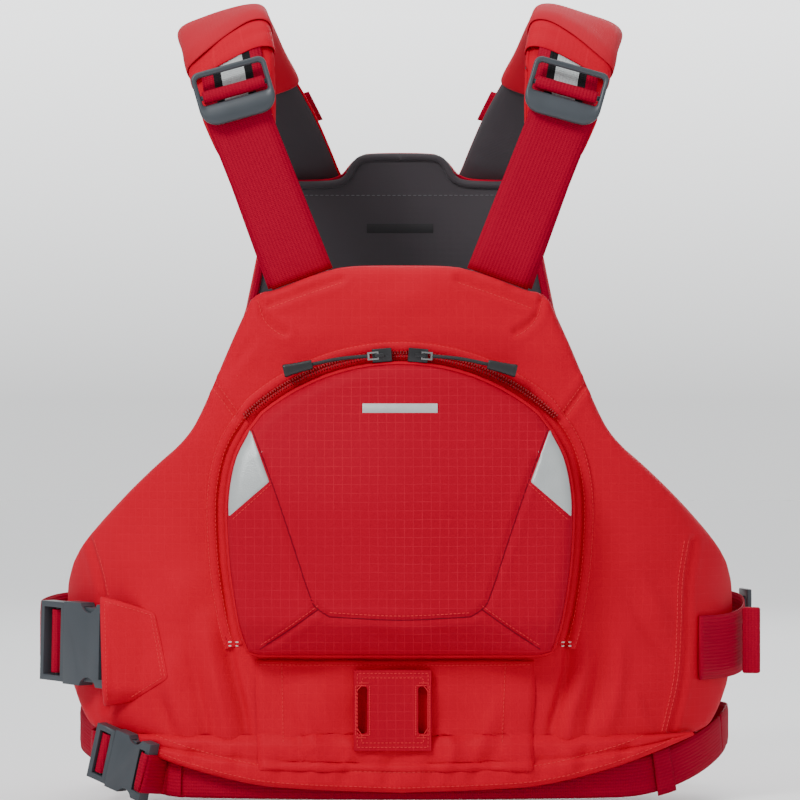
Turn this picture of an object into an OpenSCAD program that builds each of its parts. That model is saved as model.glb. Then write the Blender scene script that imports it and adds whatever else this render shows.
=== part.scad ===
// Paddling life jacket (buoyancy vest), buckled up in its worn shape.
// Frame: millimetres, +Z up, the front panel faces -Y, and left and right are as seen from the front.
// The origin is midway between the two shoulder pads, level with their undersides where the wearer's shoulders bear.

/* [Torso] */
// Half of the width over the front panel
half_w = 214; // [210:1:218]
// Distance from the origin forward to the front panel's outer face
front_d = 132; // [130:1:134]
// Thickness of the front panel
front_t = 38; // [34:1:38]
// Thickness of the back panel
back_t = 26; // [22:1:28]

/* [Pocket] */
// How far the pocket stands out from the front panel
pocket_d = 30; // [26:1:32]
// Radius of the zipper's arch over the pocket
zip_r = 138; // [137:1:139]

/* [Webbing] */
// Width of the shoulder and side webbing
strap_w = 40; // [38:1:40]
// Width of the waist belt's webbing
belt_w = 25; // [22:1:25]
// Thickness of all webbing
web_t = 2; // [1.6:0.1:2]

/* [Fabric] */
// Thickness of the shell and liner fabric, with its seam allowance
cloth_t = 1.5; // [1.2:0.1:1.6]

/* [Hidden] */

// Colours
red = [0.78, 0.07, 0.11];
deep_red = [0.62, 0.05, 0.09];
web_red = [0.66, 0.04, 0.10];
liner_grey = [0.27, 0.27, 0.28];
plastic_grey = [0.30, 0.32, 0.34];
silver = [0.72, 0.74, 0.74];
black = [0.06, 0.06, 0.06];
foam_white = [0.9, 0.9, 0.86];

// Plan profile: a flat chest arc that runs into a round side arc on each side
chest_r = 600;
turn = 11.54;
side_r = (half_w - chest_r * sin(turn)) / (1 - sin(turn));
side_cx = half_w - side_r;
// The back panel's outer face is as far back as it takes for its side arcs to meet the front panel's
back_d = 2 * (chest_r - (chest_r - side_r) * cos(turn)) - front_d;
gap = 0.3;

// A point of the plan profile: a is the heading of the outward normal, d the depth below the outer face,
// and s is -1 on the front and 1 on the back
function face_y(s) = s < 0 ? -front_d : back_d;
function profile(s, a, d) =
    abs(a) <= turn
    ? [(chest_r - d) * sin(a), face_y(s) - s * chest_r + s * (chest_r - d) * cos(a)]
    : [sign(a) * side_cx + (side_r - d) * sin(a),
       face_y(s) - s * chest_r + s * ((chest_r - side_r) * cos(turn) + (side_r - d) * cos(a))];

// All the way round: h is 0 at the middle of the front, 90 at the right side and 180 at the middle of the back
function round_xy(h, d) = abs(h) <= 90 ? profile(-1, h, d) : profile(1, sign(h) * (180 - abs(h)), d);
function round_normal(h) = [sin(h), -cos(h), 0];
function ease(x, lo, hi) = let (k = min(1, max(0, (x - lo) / (hi - lo)))) k * k * (3 - 2 * k);
function unit(v) = v / norm(v);
function lerp(a, b, k) = a + (b - a) * k;

// Outlines: a smooth closed curve through a few points, its mirrored half, and the same outline moved inwards
function curve(p0, p1, p2, p3, k) =
    0.5 * (2 * p1 + (p2 - p0) * k + (2 * p0 - 5 * p1 + 4 * p2 - p3) * k * k
    + (3 * p1 - p0 - 3 * p2 + p3) * k * k * k);
function closed_curve(p, n) = let (c = len(p)) [
    for (i = [0 : c - 1]) for (j = [0 : n - 1])
        curve(p[(i + c - 1) % c], p[i], p[(i + 1) % c], p[(i + 2) % c], j / n)];
function open_curve(p, n) = let (c = len(p)) concat([
    for (i = [0 : c - 2]) for (j = [0 : n - 1])
        curve(p[max(0, i - 1)], p[i], p[i + 1], p[min(c - 1, i + 2)], j / n)], [p[c - 1]]);
function both_sides(half) = concat(half, [
    for (i = [len(half) - 1 : -1 : 0]) if (abs(half[i][0]) > 0.01) [-half[i][0], half[i][1]]]);
function inset(p, d) = let (c = len(p)) [
    for (i = [0 : c - 1]) let (t = unit(p[(i + 1) % c] - p[(i + c - 1) % c])) p[i] + d * [t[1], -t[0]]];

module band(s, d0, d1, a0, a1, z0, z1) {
    steps = max(4, round((a1 - a0) / 4));
    angles = [for (i = [0 : steps]) lerp(a0, a1, i / steps)];
    translate([0, 0, z0]) linear_extrude(z1 - z0) polygon(concat(
        [for (a = angles) profile(s, a, d0)],
        [for (i = [steps : -1 : 0]) profile(s, angles[i], d1)]));
}
module seen_from_front(outline) {
    rotate([90, 0, 0]) linear_extrude(800, center = true) polygon(outline);
}

// A solid swept through rings of points, and a flat band of webbing, or a round cord, through stations
module sweep(rings) {
    n = len(rings[0]);
    last = len(rings) - 1;
    polyhedron(
        points = [for (r = rings) for (p = r) p],
        faces = concat(
            [for (i = [0 : last - 1]) for (j = [0 : n - 1]) let (k = (j + 1) % n)
                each [[i * n + j, i * n + k, (i + 1) * n + k], [i * n + j, (i + 1) * n + k, (i + 1) * n + j]]],
            [[for (j = [n - 1 : -1 : 0]) j], [for (j = [0 : n - 1]) last * n + j]]));
}
// Each station is [centre, across, outward, width, thickness]
function flat_ring(q) = let (u = q[1] * q[3] / 2, v = q[2] * q[4] / 2)
    [q[0] - u - v, q[0] - u + v, q[0] + u + v, q[0] + u - v];
function soft_ring(q) = let (u = q[1] * q[3] / 2, v = q[2] * q[4] / 2)
    [q[0] - u - v * 0.35, q[0] - u + v * 0.35, q[0] - u * 0.8 + v, q[0] + u * 0.8 + v,
     q[0] + u + v * 0.35, q[0] + u - v * 0.35, q[0] + u * 0.8 - v, q[0] - u * 0.8 - v];
module webbing(stations) sweep([for (q = stations) flat_ring(q)]);
module padding(stations) sweep([for (q = stations) soft_ring(q)]);

// Webbing that lies round the torso, from heading h0 to h1, standing on edge
module round_strap(h0, h1, n, w, depth, height) {
    webbing([for (i = [0 : n]) let (h = lerp(h0, h1, i / n), q = round_xy(h, depth(h)))
        [[q[0], q[1], height(h)], [0, 0, 1], round_normal(h), w, web_t]]);
}

// ---------------------------------------------------------------- front panel
front_half = [
    [0, -149], [20, -149], [36, -149.5], [60, -157], [80, -165], [88, -164.5], [95, -175], [114, -218],
    [130, -252], [152, -273], [172, -292], [192, -313], [205, -329], [212, -346], [214, -370], [213, -392],
    [208, -414], [198, -434], [188, -441], [150, -444], [70, -447], [0, -447]];
front_outline = closed_curve(both_sides(front_half), 2);
front_reach = 89;

module front_shell() {
    color(red) difference() {
        intersection() {
            band(-1, 0, front_t, -90, 90, -455, -140);
            seen_from_front(front_outline);
        }
        intersection() {
            band(-1, cloth_t, front_t + 5, -front_reach - 0.2, front_reach + 0.2, -455, -140);
            seen_from_front(inset(front_outline, cloth_t));
        }
    }
}
module front_layer(d0, d1) {
    intersection() {
        band(-1, d0, d1, -front_reach, front_reach, -455, -140);
        seen_from_front(inset(front_outline, cloth_t + gap));
    }
}
module front_foam_core() {
    color(foam_white) front_layer(cloth_t + gap, front_t - cloth_t - gap);
}
module front_liner() {
    color(liner_grey) front_layer(front_t - cloth_t, front_t);
}
hem_half = [[0, -474], [60, -472], [92, -469], [130, -460], [160, -450], [184, -441], [184, -430]];
module front_hem_skirt() {
    color(red) difference() {
        intersection() {
            band(-1, 0, cloth_t, -62, 62, -480, -436);
            seen_from_front(both_sides(open_curve(hem_half, 3)));
        }
        seen_from_front(inset(front_outline, -gap));
    }
}

// ---------------------------------------------------------------- back panel
back_half = [
    [0, -67], [24, -68], [33, -74], [40, -84], [62, -86], [84, -88], [92, -120], [102, -170], [119, -224],
    [147, -276], [177, -314], [198, -335], [209, -362], [209, -420], [196, -448], [160, -464], [85, -467],
    [0, -467]];
back_outline = closed_curve(both_sides(back_half), 2);
back_reach = 65;

module back_shell() {
    color(red) difference() {
        intersection() {
            band(1, 0, back_t, -back_reach, back_reach, -475, -60);
            seen_from_front(back_outline);
        }
        intersection() {
            band(1, cloth_t, back_t + 5, -back_reach + 0.8, back_reach - 0.8, -475, -60);
            seen_from_front(inset(back_outline, cloth_t));
        }
    }
}
module back_layer(d0, d1) {
    intersection() {
        band(1, d0, d1, -back_reach + 1, back_reach - 1, -475, -60);
        seen_from_front(inset(back_outline, cloth_t + gap));
    }
}
module back_foam_core() {
    color(foam_white) back_layer(cloth_t + gap, back_t - cloth_t - gap);
}
module back_liner() {
    color(liner_grey) back_layer(back_t - cloth_t, back_t);
}

// ---------------------------------------------------------------- shoulders
// Centreline of a right shoulder pad, front to back, then its width at each point and its sideways lean
pad_t = 12;
pad_line = [
    [95, -105, -76], [100, -103, -52], [104, -97, -26], [108.5, -78, -6], [112, -48, 4], [113, -6, 6],
    [109, 36, 0], [99, 71, -20], [82, 95, -47], [66, 109, -80]];
pad_width = [44, 50, 52, 53, 54, 54, 53, 52, 50, 48];
pad_lean = [17, 17, 17, 17, 17, 17, 17, 18, 16, 8];
pad_n = 3;
pad_fine = open_curve(pad_line, pad_n);
pad_last = len(pad_fine) - 1;
function along(values, i) = let (k = min(len(values) - 1.001, i / pad_n), j = floor(k))
    lerp(values[j], values[j + 1], k - j);
function pad_across(i) = let (a = along(pad_lean, i)) [cos(a), 0, -sin(a)];
function pad_out(i) = unit(cross(
    pad_fine[max(0, i - 1)] - pad_fine[min(pad_last, i + 1)], pad_across(i)));
// A station on the pad: lift is the distance of the band's middle from the pad's middle
function pad_station(i, lift, w, t) = [pad_fine[i] + pad_out(i) * lift, pad_across(i), pad_out(i), w, t];

module on_side(side) {
    if (side < 0) mirror([1, 0, 0]) children();
    else children();
}
module shoulder_pad(side) {
    color(red) on_side(side)
        padding([for (i = [0 : pad_last]) pad_station(i, 0, along(pad_width, i), pad_t)]);
}
cap_t = 3;
module shoulder_cap(side) {
    color(red) on_side(side) padding([for (i = [7 : 22])
        let (roll = i < 10 ? 3 : 0)
        pad_station(i, pad_t / 2 + 3 + (cap_t + roll) / 2, along(pad_width, i) + 3, cap_t + roll)]);
}
module reflective_webbing(side) {
    color(silver) on_side(side)
        webbing([for (i = [2 : 13]) pad_station(i, pad_t / 2 + gap + web_t / 2, strap_w, web_t)]);
}

// Ladder-lock buckle: its own frame has X across the strap, Z up the strap and -Y outwards,
// with the top bar on the X axis, which is what it swings on
buckle_w = 48;
buckle_l = 33;
buckle_at = [107, -116, -26.5];
buckle_roll = 16;
buckle_pitch = -10;
bar_drop = 14;
// How far the buckle tips up to let the webbing run, in degrees
buckle_tilt = 40;
// Radius of the buckle's middle bar
bar_r = 1.6;
module at_buckle(side) {
    on_side(side) translate(buckle_at) rotate([buckle_pitch, 0, 0]) rotate([0, buckle_roll, 0]) children();
}
module shoulder_buckle(side) {
    inner_w = strap_w + 2;
    arm = (buckle_w - inner_w) / 2;
    color(plastic_grey) at_buckle(side) union() {
        rotate([0, 90, 0]) cylinder(r = 1.6, h = inner_w + 1, center = true, $fn = 32);
        translate([0, 0, -bar_drop]) rotate([0, 90, 0])
            cylinder(r = bar_r, h = inner_w + 1, center = true, $fn = 32);
        for (x = [-1, 1]) translate([x * (buckle_w - arm) / 2, 0, 0]) {
            rotate([0, 90, 0]) cylinder(r = 2.4, h = arm, center = true, $fn = 32);
            translate([-arm / 2, -2.4, -buckle_l + 7]) cube([arm, 4.4, buckle_l - 7]);
        }
        hull() for (x = [-1, 1]) {
            translate([x * (buckle_w / 2 - 6), 0.6, -buckle_l + 6]) rotate([90, 0, 0])
                cylinder(r = 6, h = 3, $fn = 32);
            translate([x * (buckle_w / 2 - 2), 0.6, -buckle_l + 10.5]) rotate([90, 0, 0])
                cylinder(r = 2, h = 3, $fn = 32);
        }
    }
}
// The webbing's turn over the buckle's middle bar
module buckle_webbing(side) {
    color(web_red) at_buckle(side) translate([0, 0, -bar_drop]) rotate([0, 90, 0]) difference() {
        cylinder(r = bar_r + 0.2 + web_t, h = strap_w, center = true, $fn = 32);
        cylinder(r = bar_r + 0.2, h = strap_w + 2, center = true, $fn = 32);
    }
}
// The two layers of webbing from the buckle down to the panel's top edge
strap_foot = [61, -113, -155.5];
strap_head = [103.5, -115.6, -48.5];
strap_dir = unit(strap_foot - strap_head);
strap_across = unit([cos(20), 0, -sin(20)]);
strap_out = unit(cross(-strap_dir, strap_across));
module shoulder_webbing(side) {
    color(web_red) on_side(side) webbing([for (k = [0 : 0.25 : 1])
        [lerp(strap_head, strap_foot, k), strap_across, strap_out, strap_w, web_t]]);
}
return_foot = strap_foot - strap_out * 3 + [2, 0, -1];
return_head = lerp(strap_head, strap_foot, 0.4) - strap_out * 3;
module webbing_return(side) {
    color(web_red) on_side(side) webbing([for (k = [0 : 0.25 : 1])
        [lerp(return_head, return_foot, k), strap_across, strap_out, strap_w, web_t]]);
}
// A cross band sewn over the back of the pad, standing proud at its inner edge
loop_i = 24;
loop_h = 22;
module shoulder_loop(side) {
    reach = along(pad_width, loop_i) / 2;
    lift = pad_out(loop_i) * (pad_t / 2 + gap + 1);
    down = unit(pad_fine[loop_i + 1] - pad_fine[loop_i - 1]);
    color(web_red) on_side(side) webbing([for (x = [-reach - 3, reach - 8])
        [pad_fine[loop_i] + lift + pad_across(loop_i) * x, down, pad_out(loop_i), loop_h, web_t]]);
}

// ---------------------------------------------------------------- pocket
zip_y = -front_d - 3.4;
zip_cz = -342;
flap_r = zip_r - 6;
pocket_foot = -389;
// How far the open pocket swings forward about its foot, in degrees
pocket_swing = 45;
pocket_side = open_curve([
    [94, -253], [101, -267], [105, -285], [106, -305], [104, -337], [99, -368], [95, -382]], 2);
pocket_outline = concat(
    [for (a = [-40 : 8 : 40]) [flap_r * sin(a), zip_cz + flap_r * cos(a)]],
    pocket_side, [[91, pocket_foot], [-91, pocket_foot]],
    [for (i = [len(pocket_side) - 1 : -1 : 0]) [-pocket_side[i][0], pocket_side[i][1]]]);
module pocket_face() {
    color(deep_red) difference() {
        intersection() {
            band(-1, -pocket_d, -pocket_d + cloth_t, -26, 26, pocket_foot - 5, -205);
            seen_from_front(pocket_outline);
        }
        for (x = [-1, 1]) seen_from_front(reflector_outline(x, gap));
    }
}
module pocket_gusset() {
    color(red) difference() {
        intersection() {
            band(-1, -pocket_d + cloth_t + 0.1, -2.2, -26, 26, pocket_foot - 5, -205);
            seen_from_front(pocket_outline);
        }
        seen_from_front(inset(pocket_outline, cloth_t));
    }
}
function reflector_outline(side, grow) = let (
    p = [[-112, -310 - grow], [-116, -280], [-108, -255], [-93 + grow, -243 + grow],
         [-77 + grow, -281 - grow * 0.3]])
    [for (q = p) [-side * q[0], q[1]]];
module reflector(side) {
    color(silver) intersection() {
        band(-1, -pocket_d - 0.1, -pocket_d + cloth_t, -26, 26, pocket_foot - 5, -205);
        seen_from_front(reflector_outline(side, 0));
        seen_from_front(inset(pocket_outline, 0.2));
    }
}

// ---------------------------------------------------------------- zipper
module zipper_tape() {
    color(deep_red) difference() {
        intersection() {
            band(-1, -1.4, -gap, -26, 26, -385, -190);
            seen_from_front(inset(pocket_outline, -14));
        }
        seen_from_front(inset(pocket_outline, -1.5));
    }
}
// The coil lies on a circle in a plane that leans forward, so that it follows the panel's round face
zip_lean = 12;
zip_reach = 44;
// Origin at the arch's centre, Z up the leaning plane and -Y out of it
module in_zip_plane() {
    translate([0, zip_y, zip_cz + zip_r]) rotate([zip_lean, 0, 0]) translate([0, 0, -zip_r]) children();
}
module zipper_coil() {
    color(deep_red) in_zip_plane() rotate([90, 0, 0]) rotate([0, 0, 90 - zip_reach])
        rotate_extrude(angle = 2 * zip_reach, $fn = 128) translate([zip_r, 0]) circle(r = 1.2, $fn = 16);
}
// Each slider is drawn over the arch's top and turned to its closed place
slider_turn = 4.6;
// How far each slider runs along the arch from there, in degrees
slider_travel = 36;
module at_slider(side) {
    on_side(side) in_zip_plane() rotate([0, slider_turn, 0]) translate([0, 0, zip_r])
        rotate([-zip_lean, 0, 0]) children();
}
slider_l = 12;
slider_w = 8.4;
plate_t = 2.4;
// The bridge that the pull hangs in stands on the outer plate
bridge = [6, 3.4, 2.2];
module zip_slider(side) {
    color(black) at_slider(side) difference() {
        union() {
            translate([-slider_l / 2, -4.2, -slider_w / 2]) cube([slider_l, plate_t, slider_w]);
            for (z = [-slider_w / 2, slider_w / 2 - 1.4])
                translate([-slider_l / 2, -2.2, z]) cube([slider_l, 3, 1.4]);
            translate([-1.5, -7.4, -bridge[2] / 2]) cube(bridge);
        }
        translate([1.3, -6.4, -2]) cube([2.4, 2, 4]);
    }
}
// The pull swings in the slider's bridge: a metal ring, a cord and a moulded grip, laid along the arch
pull_bar = [2.5, -5.4, 0];
ring_l = 6.4;
ring_w = 5;
ring_t = 1.4;
module pull_ring(side) {
    color(silver) at_slider(side) translate(pull_bar) union() {
        cylinder(r = ring_t / 2, h = ring_w, center = true, $fn = 24);
        for (z = [-2, 2]) translate([0, -ring_t / 2, z - 0.5]) cube([ring_l, ring_t, 1]);
        translate([ring_l - 1.2, -ring_t / 2, -ring_w / 2]) cube([1.2, ring_t, ring_w]);
    }
}
cord_d = 2.4;
// The route in the slider's own frame, from the ring outwards
cord_route = [
    [9, -5.4, 0], [13, -5.7, 0.1], [18, -6, 0.1], [23, -6, 0], [28, -5.9, -0.3], [33, -5.8, -0.8],
    [38, -5.8, -1.5], [43, -5.8, -2.2]];
module pull_cord(side) {
    line = open_curve(cord_route, 2);
    last = len(line) - 1;
    color(black) at_slider(side) sweep([for (i = [0 : last])
        let (t = unit(line[min(last, i + 1)] - line[max(0, i - 1)]), u = unit(cross(t, [0, 1, 0])), v = cross(t, u))
        [for (k = [0 : 7]) line[i] + cord_d / 2 * (cos(45 * k) * u + sin(45 * k) * v)]]);
}
grip_l = 18;
grip_droop = 9;
module pull_grip(side) {
    end = cord_route[len(cord_route) - 1];
    color(black) at_slider(side) translate(end) rotate([0, grip_droop, 0]) hull() {
        translate([0.1, -2.6, -2.8]) cube([1, 5, 5.6]);
        translate([grip_l - 1, -3.4, -4]) cube([1, 6.4, 8]);
    }
}

// ---------------------------------------------------------------- lower front
module lower_front_panel() {
    color(red) intersection() {
        band(-1, -2, -gap, -10, 10, -460, pocket_foot - 2);
        seen_from_front([[-86, pocket_foot - 3], [86, pocket_foot - 3], [83, -456], [-83, -456]]);
    }
}
tab_w = 48;
tab_h = 50;
tab_cx = -4.5;
tab_cz = -423;
tab_t = 2;
slot_w = 5.4;
slot_h = 28.5;
slot_x = 18.5;
// Free depth behind the tab, between its stitched sides and its stitched top and bottom edges
tunnel_d = 4.6;
tab_side = 2.2;
tab_edge = 5;
tab_face = front_d + 2.2 + tunnel_d + tab_t;
module lash_tab() {
    color(deep_red) difference() {
        translate([tab_cx - tab_w / 2, -tab_face, tab_cz - tab_h / 2]) cube([tab_w, tunnel_d + tab_t, tab_h]);
        translate([tab_cx - tab_w / 2 + tab_side, -tab_face + tab_t, tab_cz - tab_h / 2 + tab_edge])
            cube([tab_w - 2 * tab_side, tunnel_d + 5, tab_h - 2 * tab_edge]);
        for (x = [-slot_x, slot_x])
            translate([tab_cx + x - slot_w / 2, -tab_face - 1, tab_cz - slot_h / 2]) cube([slot_w, 8, slot_h]);
    }
}
module side_buckle_patch() {
    color(red) intersection() {
        band(-1, -1.4, -gap, -46, -18, -440, -340);
        seen_from_front([[-176, -356], [-152, -364.5], [-146, -407], [-164, -417]]);
    }
}

// ---------------------------------------------------------------- side-release buckles
// In a buckle's own frame the socket's mouth is the plane X = 0, the socket runs to +X and the plug to -X,
// Z is across the webbing and -Y is outwards; w is the webbing's width, l the socket's length, t its thickness
socket_rim = 6;
socket_wall = 2.4;
socket_skin = 2;
// Length of the solid end behind the socket's cavity, and the slot through it for the webbing
socket_end = 11;
socket_slot = 4.5;
plug_rim = 5;
plug_bar_r = 1.6;
plug_bar_y = 0.6;
// The tongue between the prongs that guides the plug in
tongue = [6, 3.2];
prong_play = 0.3;
module release_socket(w, l, t) {
    outer = w + 2 * socket_rim;
    color(plastic_grey) difference() {
        translate([0, -t / 2, -outer / 2]) cube([l, t, outer]);
        translate([-1, -t / 2 + socket_skin, -outer / 2 + socket_wall])
            cube([l - socket_end, t - 2 * socket_skin, outer - 2 * socket_wall]);
        for (z = [-1, 1]) translate([l * 0.56, 0, z * (outer / 2 + l * 0.07)]) rotate([90, 0, 0])
            cylinder(r = l * 0.2, h = t + 2, center = true, $fn = 48);
        translate([l - 8, -t, -w / 2 - 0.8]) cube([socket_slot, 2 * t, w + 1.6]);
    }
}
module release_plug(w, l, t) {
    outer = w + 2 * plug_rim;
    inner = w + 3;
    back = l * 0.55;
    color(plastic_grey) union() {
        difference() {
            translate([-back, -t / 2 + 0.5, -outer / 2]) cube([back - gap, t - 1, outer]);
            translate([-back + 3.4, -t, -inner / 2]) cube([back - 7.2, 2 * t, inner]);
        }
        translate([-l * 0.3, plug_bar_y, 0]) cylinder(r = plug_bar_r, h = outer - 2, center = true, $fn = 32);
        translate([-0.5, -tongue[1] / 2, -tongue[0] / 2]) cube([l * 0.55, tongue[1], tongue[0]]);
    }
}
module release_prong(w, l, t, side) {
    outer = w + 2 * (socket_rim - socket_wall - prong_play);
    arm = w > 30 ? 5 : 4;
    reach = l - socket_end - 3;
    thick = t - 2 * socket_skin - 0.8;
    color(plastic_grey) difference() {
        union() {
            translate([0.5, -thick / 2, side * (outer / 2 - arm / 2) - arm / 2]) cube([reach, thick, arm]);
            translate([reach * 0.55, 0, side * (outer / 2 - arm / 2 - 1)]) rotate([90, 0, 0])
                cylinder(r = arm * 0.62, h = thick, center = true, $fn = 32);
        }
        translate([-10, -t, side > 0 ? outer / 2 : -outer / 2 - 20]) cube([80, 2 * t, 20]);
    }
}

side_l = 44;
side_t = 11;
side_yaw = -48;
side_pitch = 2;
side_mouth = [-208, -66.2, -384.7];
module at_side_buckle() {
    translate(side_mouth) rotate([0, 0, side_yaw]) rotate([0, side_pitch, 0]) children();
}
module side_buckle_socket() at_side_buckle() release_socket(strap_w, side_l, side_t);
module side_buckle_plug() at_side_buckle() release_plug(strap_w, side_l, side_t);
module side_buckle_upper_prong() at_side_buckle() release_prong(strap_w, side_l, side_t, 1);
module side_buckle_lower_prong() at_side_buckle() release_prong(strap_w, side_l, side_t, -1);

// Webbing turned round the plug's bar, then the strap from there round to the back panel
module plug_loop(w, l) {
    bore = plug_bar_r + gap;
    turn_r = bore + web_t + 0.1;
    tail = l / 4 - turn_r;
    color(web_red) translate([-l * 0.3, plug_bar_y, 0]) difference() {
        union() {
            cylinder(r = turn_r, h = w, center = true, $fn = 32);
            translate([-tail, turn_r - web_t, -w / 2]) cube([tail, web_t, w]);
        }
        cylinder(r = bore, h = w + 2, center = true, $fn = 32);
    }
}
module left_side_strap_loop() at_side_buckle() plug_loop(strap_w, side_l);
left_strap_line = [
    [-226, -32, -384], [-230, -14, -382], [-229, 4, -380], [-222, 26, -378], [-211, 44, -377], [-199, 60, -377]];
module left_side_strap() {
    line = open_curve(left_strap_line, 3);
    last = len(line) - 1;
    color(web_red) webbing([for (i = [0 : last])
        let (t = unit(line[min(last, i + 1)] - line[max(0, i - 1)]), out = unit(cross(t, [0, 0, 1])))
        [line[i], unit(cross(out, t)), out, strap_w, web_t]]);
}

// ---------------------------------------------------------------- right side strap
right_strap_z = -387.5;
module right_side_strap() {
    color(web_red) round_strap(50, 122, 18, strap_w,
        function (h) -2 - 5 * ease(h, 52, 80) + 4 * ease(h, 95, 120),
        function (h) lerp(right_strap_z, -376, ease(h, 60, 110)));
}
module right_side_strap_tail() {
    color(web_red) translate([217.8, -44, right_strap_z + 3]) rotate([0, 0, -14])
        translate([0, -3, -strap_w / 2 - 1]) cube([11, 6, strap_w + 2]);
}
module right_side_adjuster() {
    at = round_xy(98, -9.5);
    color(plastic_grey) translate([at[0] + 1.2, at[1], -379]) rotate([0, 0, 8]) difference() {
        translate([-1.5, -13, -25]) cube([3, 26, 50]);
        for (y = [-9, 2]) translate([-5, y, -20]) cube([10, 7, 40]);
    }
}

// ---------------------------------------------------------------- waist belt
// Height of the belt's middle at the front, by the left buckle, and at the sides and back
belt_z0 = -466.5;
belt_z52 = -452.5;
belt_z90 = -441;
function belt_z(h) = h > 0
    ? lerp(belt_z0, belt_z90, ease(h, 20, 90))
    : lerp(belt_z0, belt_z52, ease(-h, 20, 52)) + (belt_z90 - belt_z52) * ease(-h, 90, 120);
// How far the belt lies in from the panels' outer faces: behind the hem in front, outside the shell elsewhere,
// and held off the left side by the buckle
function belt_depth(h) =
    h > 0 ? lerp(5, -2.2, ease(h, 84, 112))
    : h > -50 ? 5 : -2.2 + 21 * (ease(-h, 50, 76) - ease(-h, 90, 114));
belt_socket_h = -29;
module belt_front() {
    color(web_red) round_strap(belt_socket_h, 72, 26, belt_w,
        function (h) belt_depth(h), function (h) belt_z(h));
}
module belt_back() {
    color(web_red) round_strap(72.3, 360 - 53, 60, belt_w,
        function (h) let (g = h > 180 ? h - 360 : h) belt_depth(g) + 0.01,
        function (h) let (g = h > 180 ? h - 360 : h) belt_z(g));
}
module belt_keeper() {
    color(web_red) webbing([for (i = [0 : 4]) let (h = lerp(33, 40, i / 4), q = round_xy(h, 2.9))
        [[q[0], q[1], belt_z(h)], [0, 0, 1], round_normal(h), belt_w + 5, 1]]);
}
belt_l = 30;
belt_t = 8.6;
belt_yaw = -39;
belt_pitch = 16;
belt_mouth = [-178, -98.5, -455];
module at_belt_buckle() {
    translate(belt_mouth) rotate([0, 0, belt_yaw]) rotate([0, belt_pitch, 0]) children();
}
module belt_buckle_socket() at_belt_buckle() release_socket(belt_w, belt_l, belt_t);
module belt_buckle_plug() at_belt_buckle() release_plug(belt_w, belt_l, belt_t);
module belt_buckle_upper_prong() at_belt_buckle() release_prong(belt_w, belt_l, belt_t, 1);
module belt_buckle_lower_prong() at_belt_buckle() release_prong(belt_w, belt_l, belt_t, -1);
module belt_plug_loop() at_belt_buckle() plug_loop(belt_w, belt_l);

front_shell();
front_foam_core();
front_liner();
front_hem_skirt();
back_shell();
back_foam_core();
back_liner();
shoulder_pad(-1);  // left_shoulder_pad
shoulder_pad(1);  // right_shoulder_pad
shoulder_cap(-1);  // left_shoulder_cap
shoulder_cap(1);  // right_shoulder_cap
reflective_webbing(-1);  // left_reflective_webbing
reflective_webbing(1);  // right_reflective_webbing
shoulder_webbing(-1);  // left_shoulder_webbing
shoulder_webbing(1);  // right_shoulder_webbing
webbing_return(-1);  // left_webbing_return
webbing_return(1);  // right_webbing_return
shoulder_buckle(-1);  // left_shoulder_buckle
shoulder_buckle(1);  // right_shoulder_buckle
buckle_webbing(-1);  // left_buckle_webbing
buckle_webbing(1);  // right_buckle_webbing
shoulder_loop(-1);  // left_shoulder_loop
shoulder_loop(1);  // right_shoulder_loop
pocket_face();
pocket_gusset();
reflector(-1);  // left_reflector
reflector(1);  // right_reflector
zipper_tape();
zipper_coil();
zip_slider(-1);  // left_zip_slider
zip_slider(1);  // right_zip_slider
pull_ring(-1);  // left_pull_ring
pull_ring(1);  // right_pull_ring
pull_cord(-1);  // left_pull_cord
pull_cord(1);  // right_pull_cord
pull_grip(-1);  // left_pull_grip
pull_grip(1);  // right_pull_grip
lower_front_panel();
lash_tab();
side_buckle_patch();
side_buckle_socket();
side_buckle_plug();
side_buckle_upper_prong();
side_buckle_lower_prong();
left_side_strap();
left_side_strap_loop();
right_side_strap();
right_side_strap_tail();
right_side_adjuster();
belt_front();
belt_back();
belt_keeper();
belt_buckle_socket();
belt_buckle_plug();
belt_buckle_upper_prong();
belt_buckle_lower_prong();
belt_plug_loop();
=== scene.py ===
"""The looks of the paddling life jacket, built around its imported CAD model.

Lengths in this script are millimetres in the CAD frame and become metres when a mesh is made.
Left is -X and right is +X, as seen from the front; the front faces -Y.
"""

import math
from contextlib import contextmanager

import bmesh
import bpy
import numpy as np
from mathutils import Matrix, Vector
from mathutils.bvhtree import BVHTree


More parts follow.
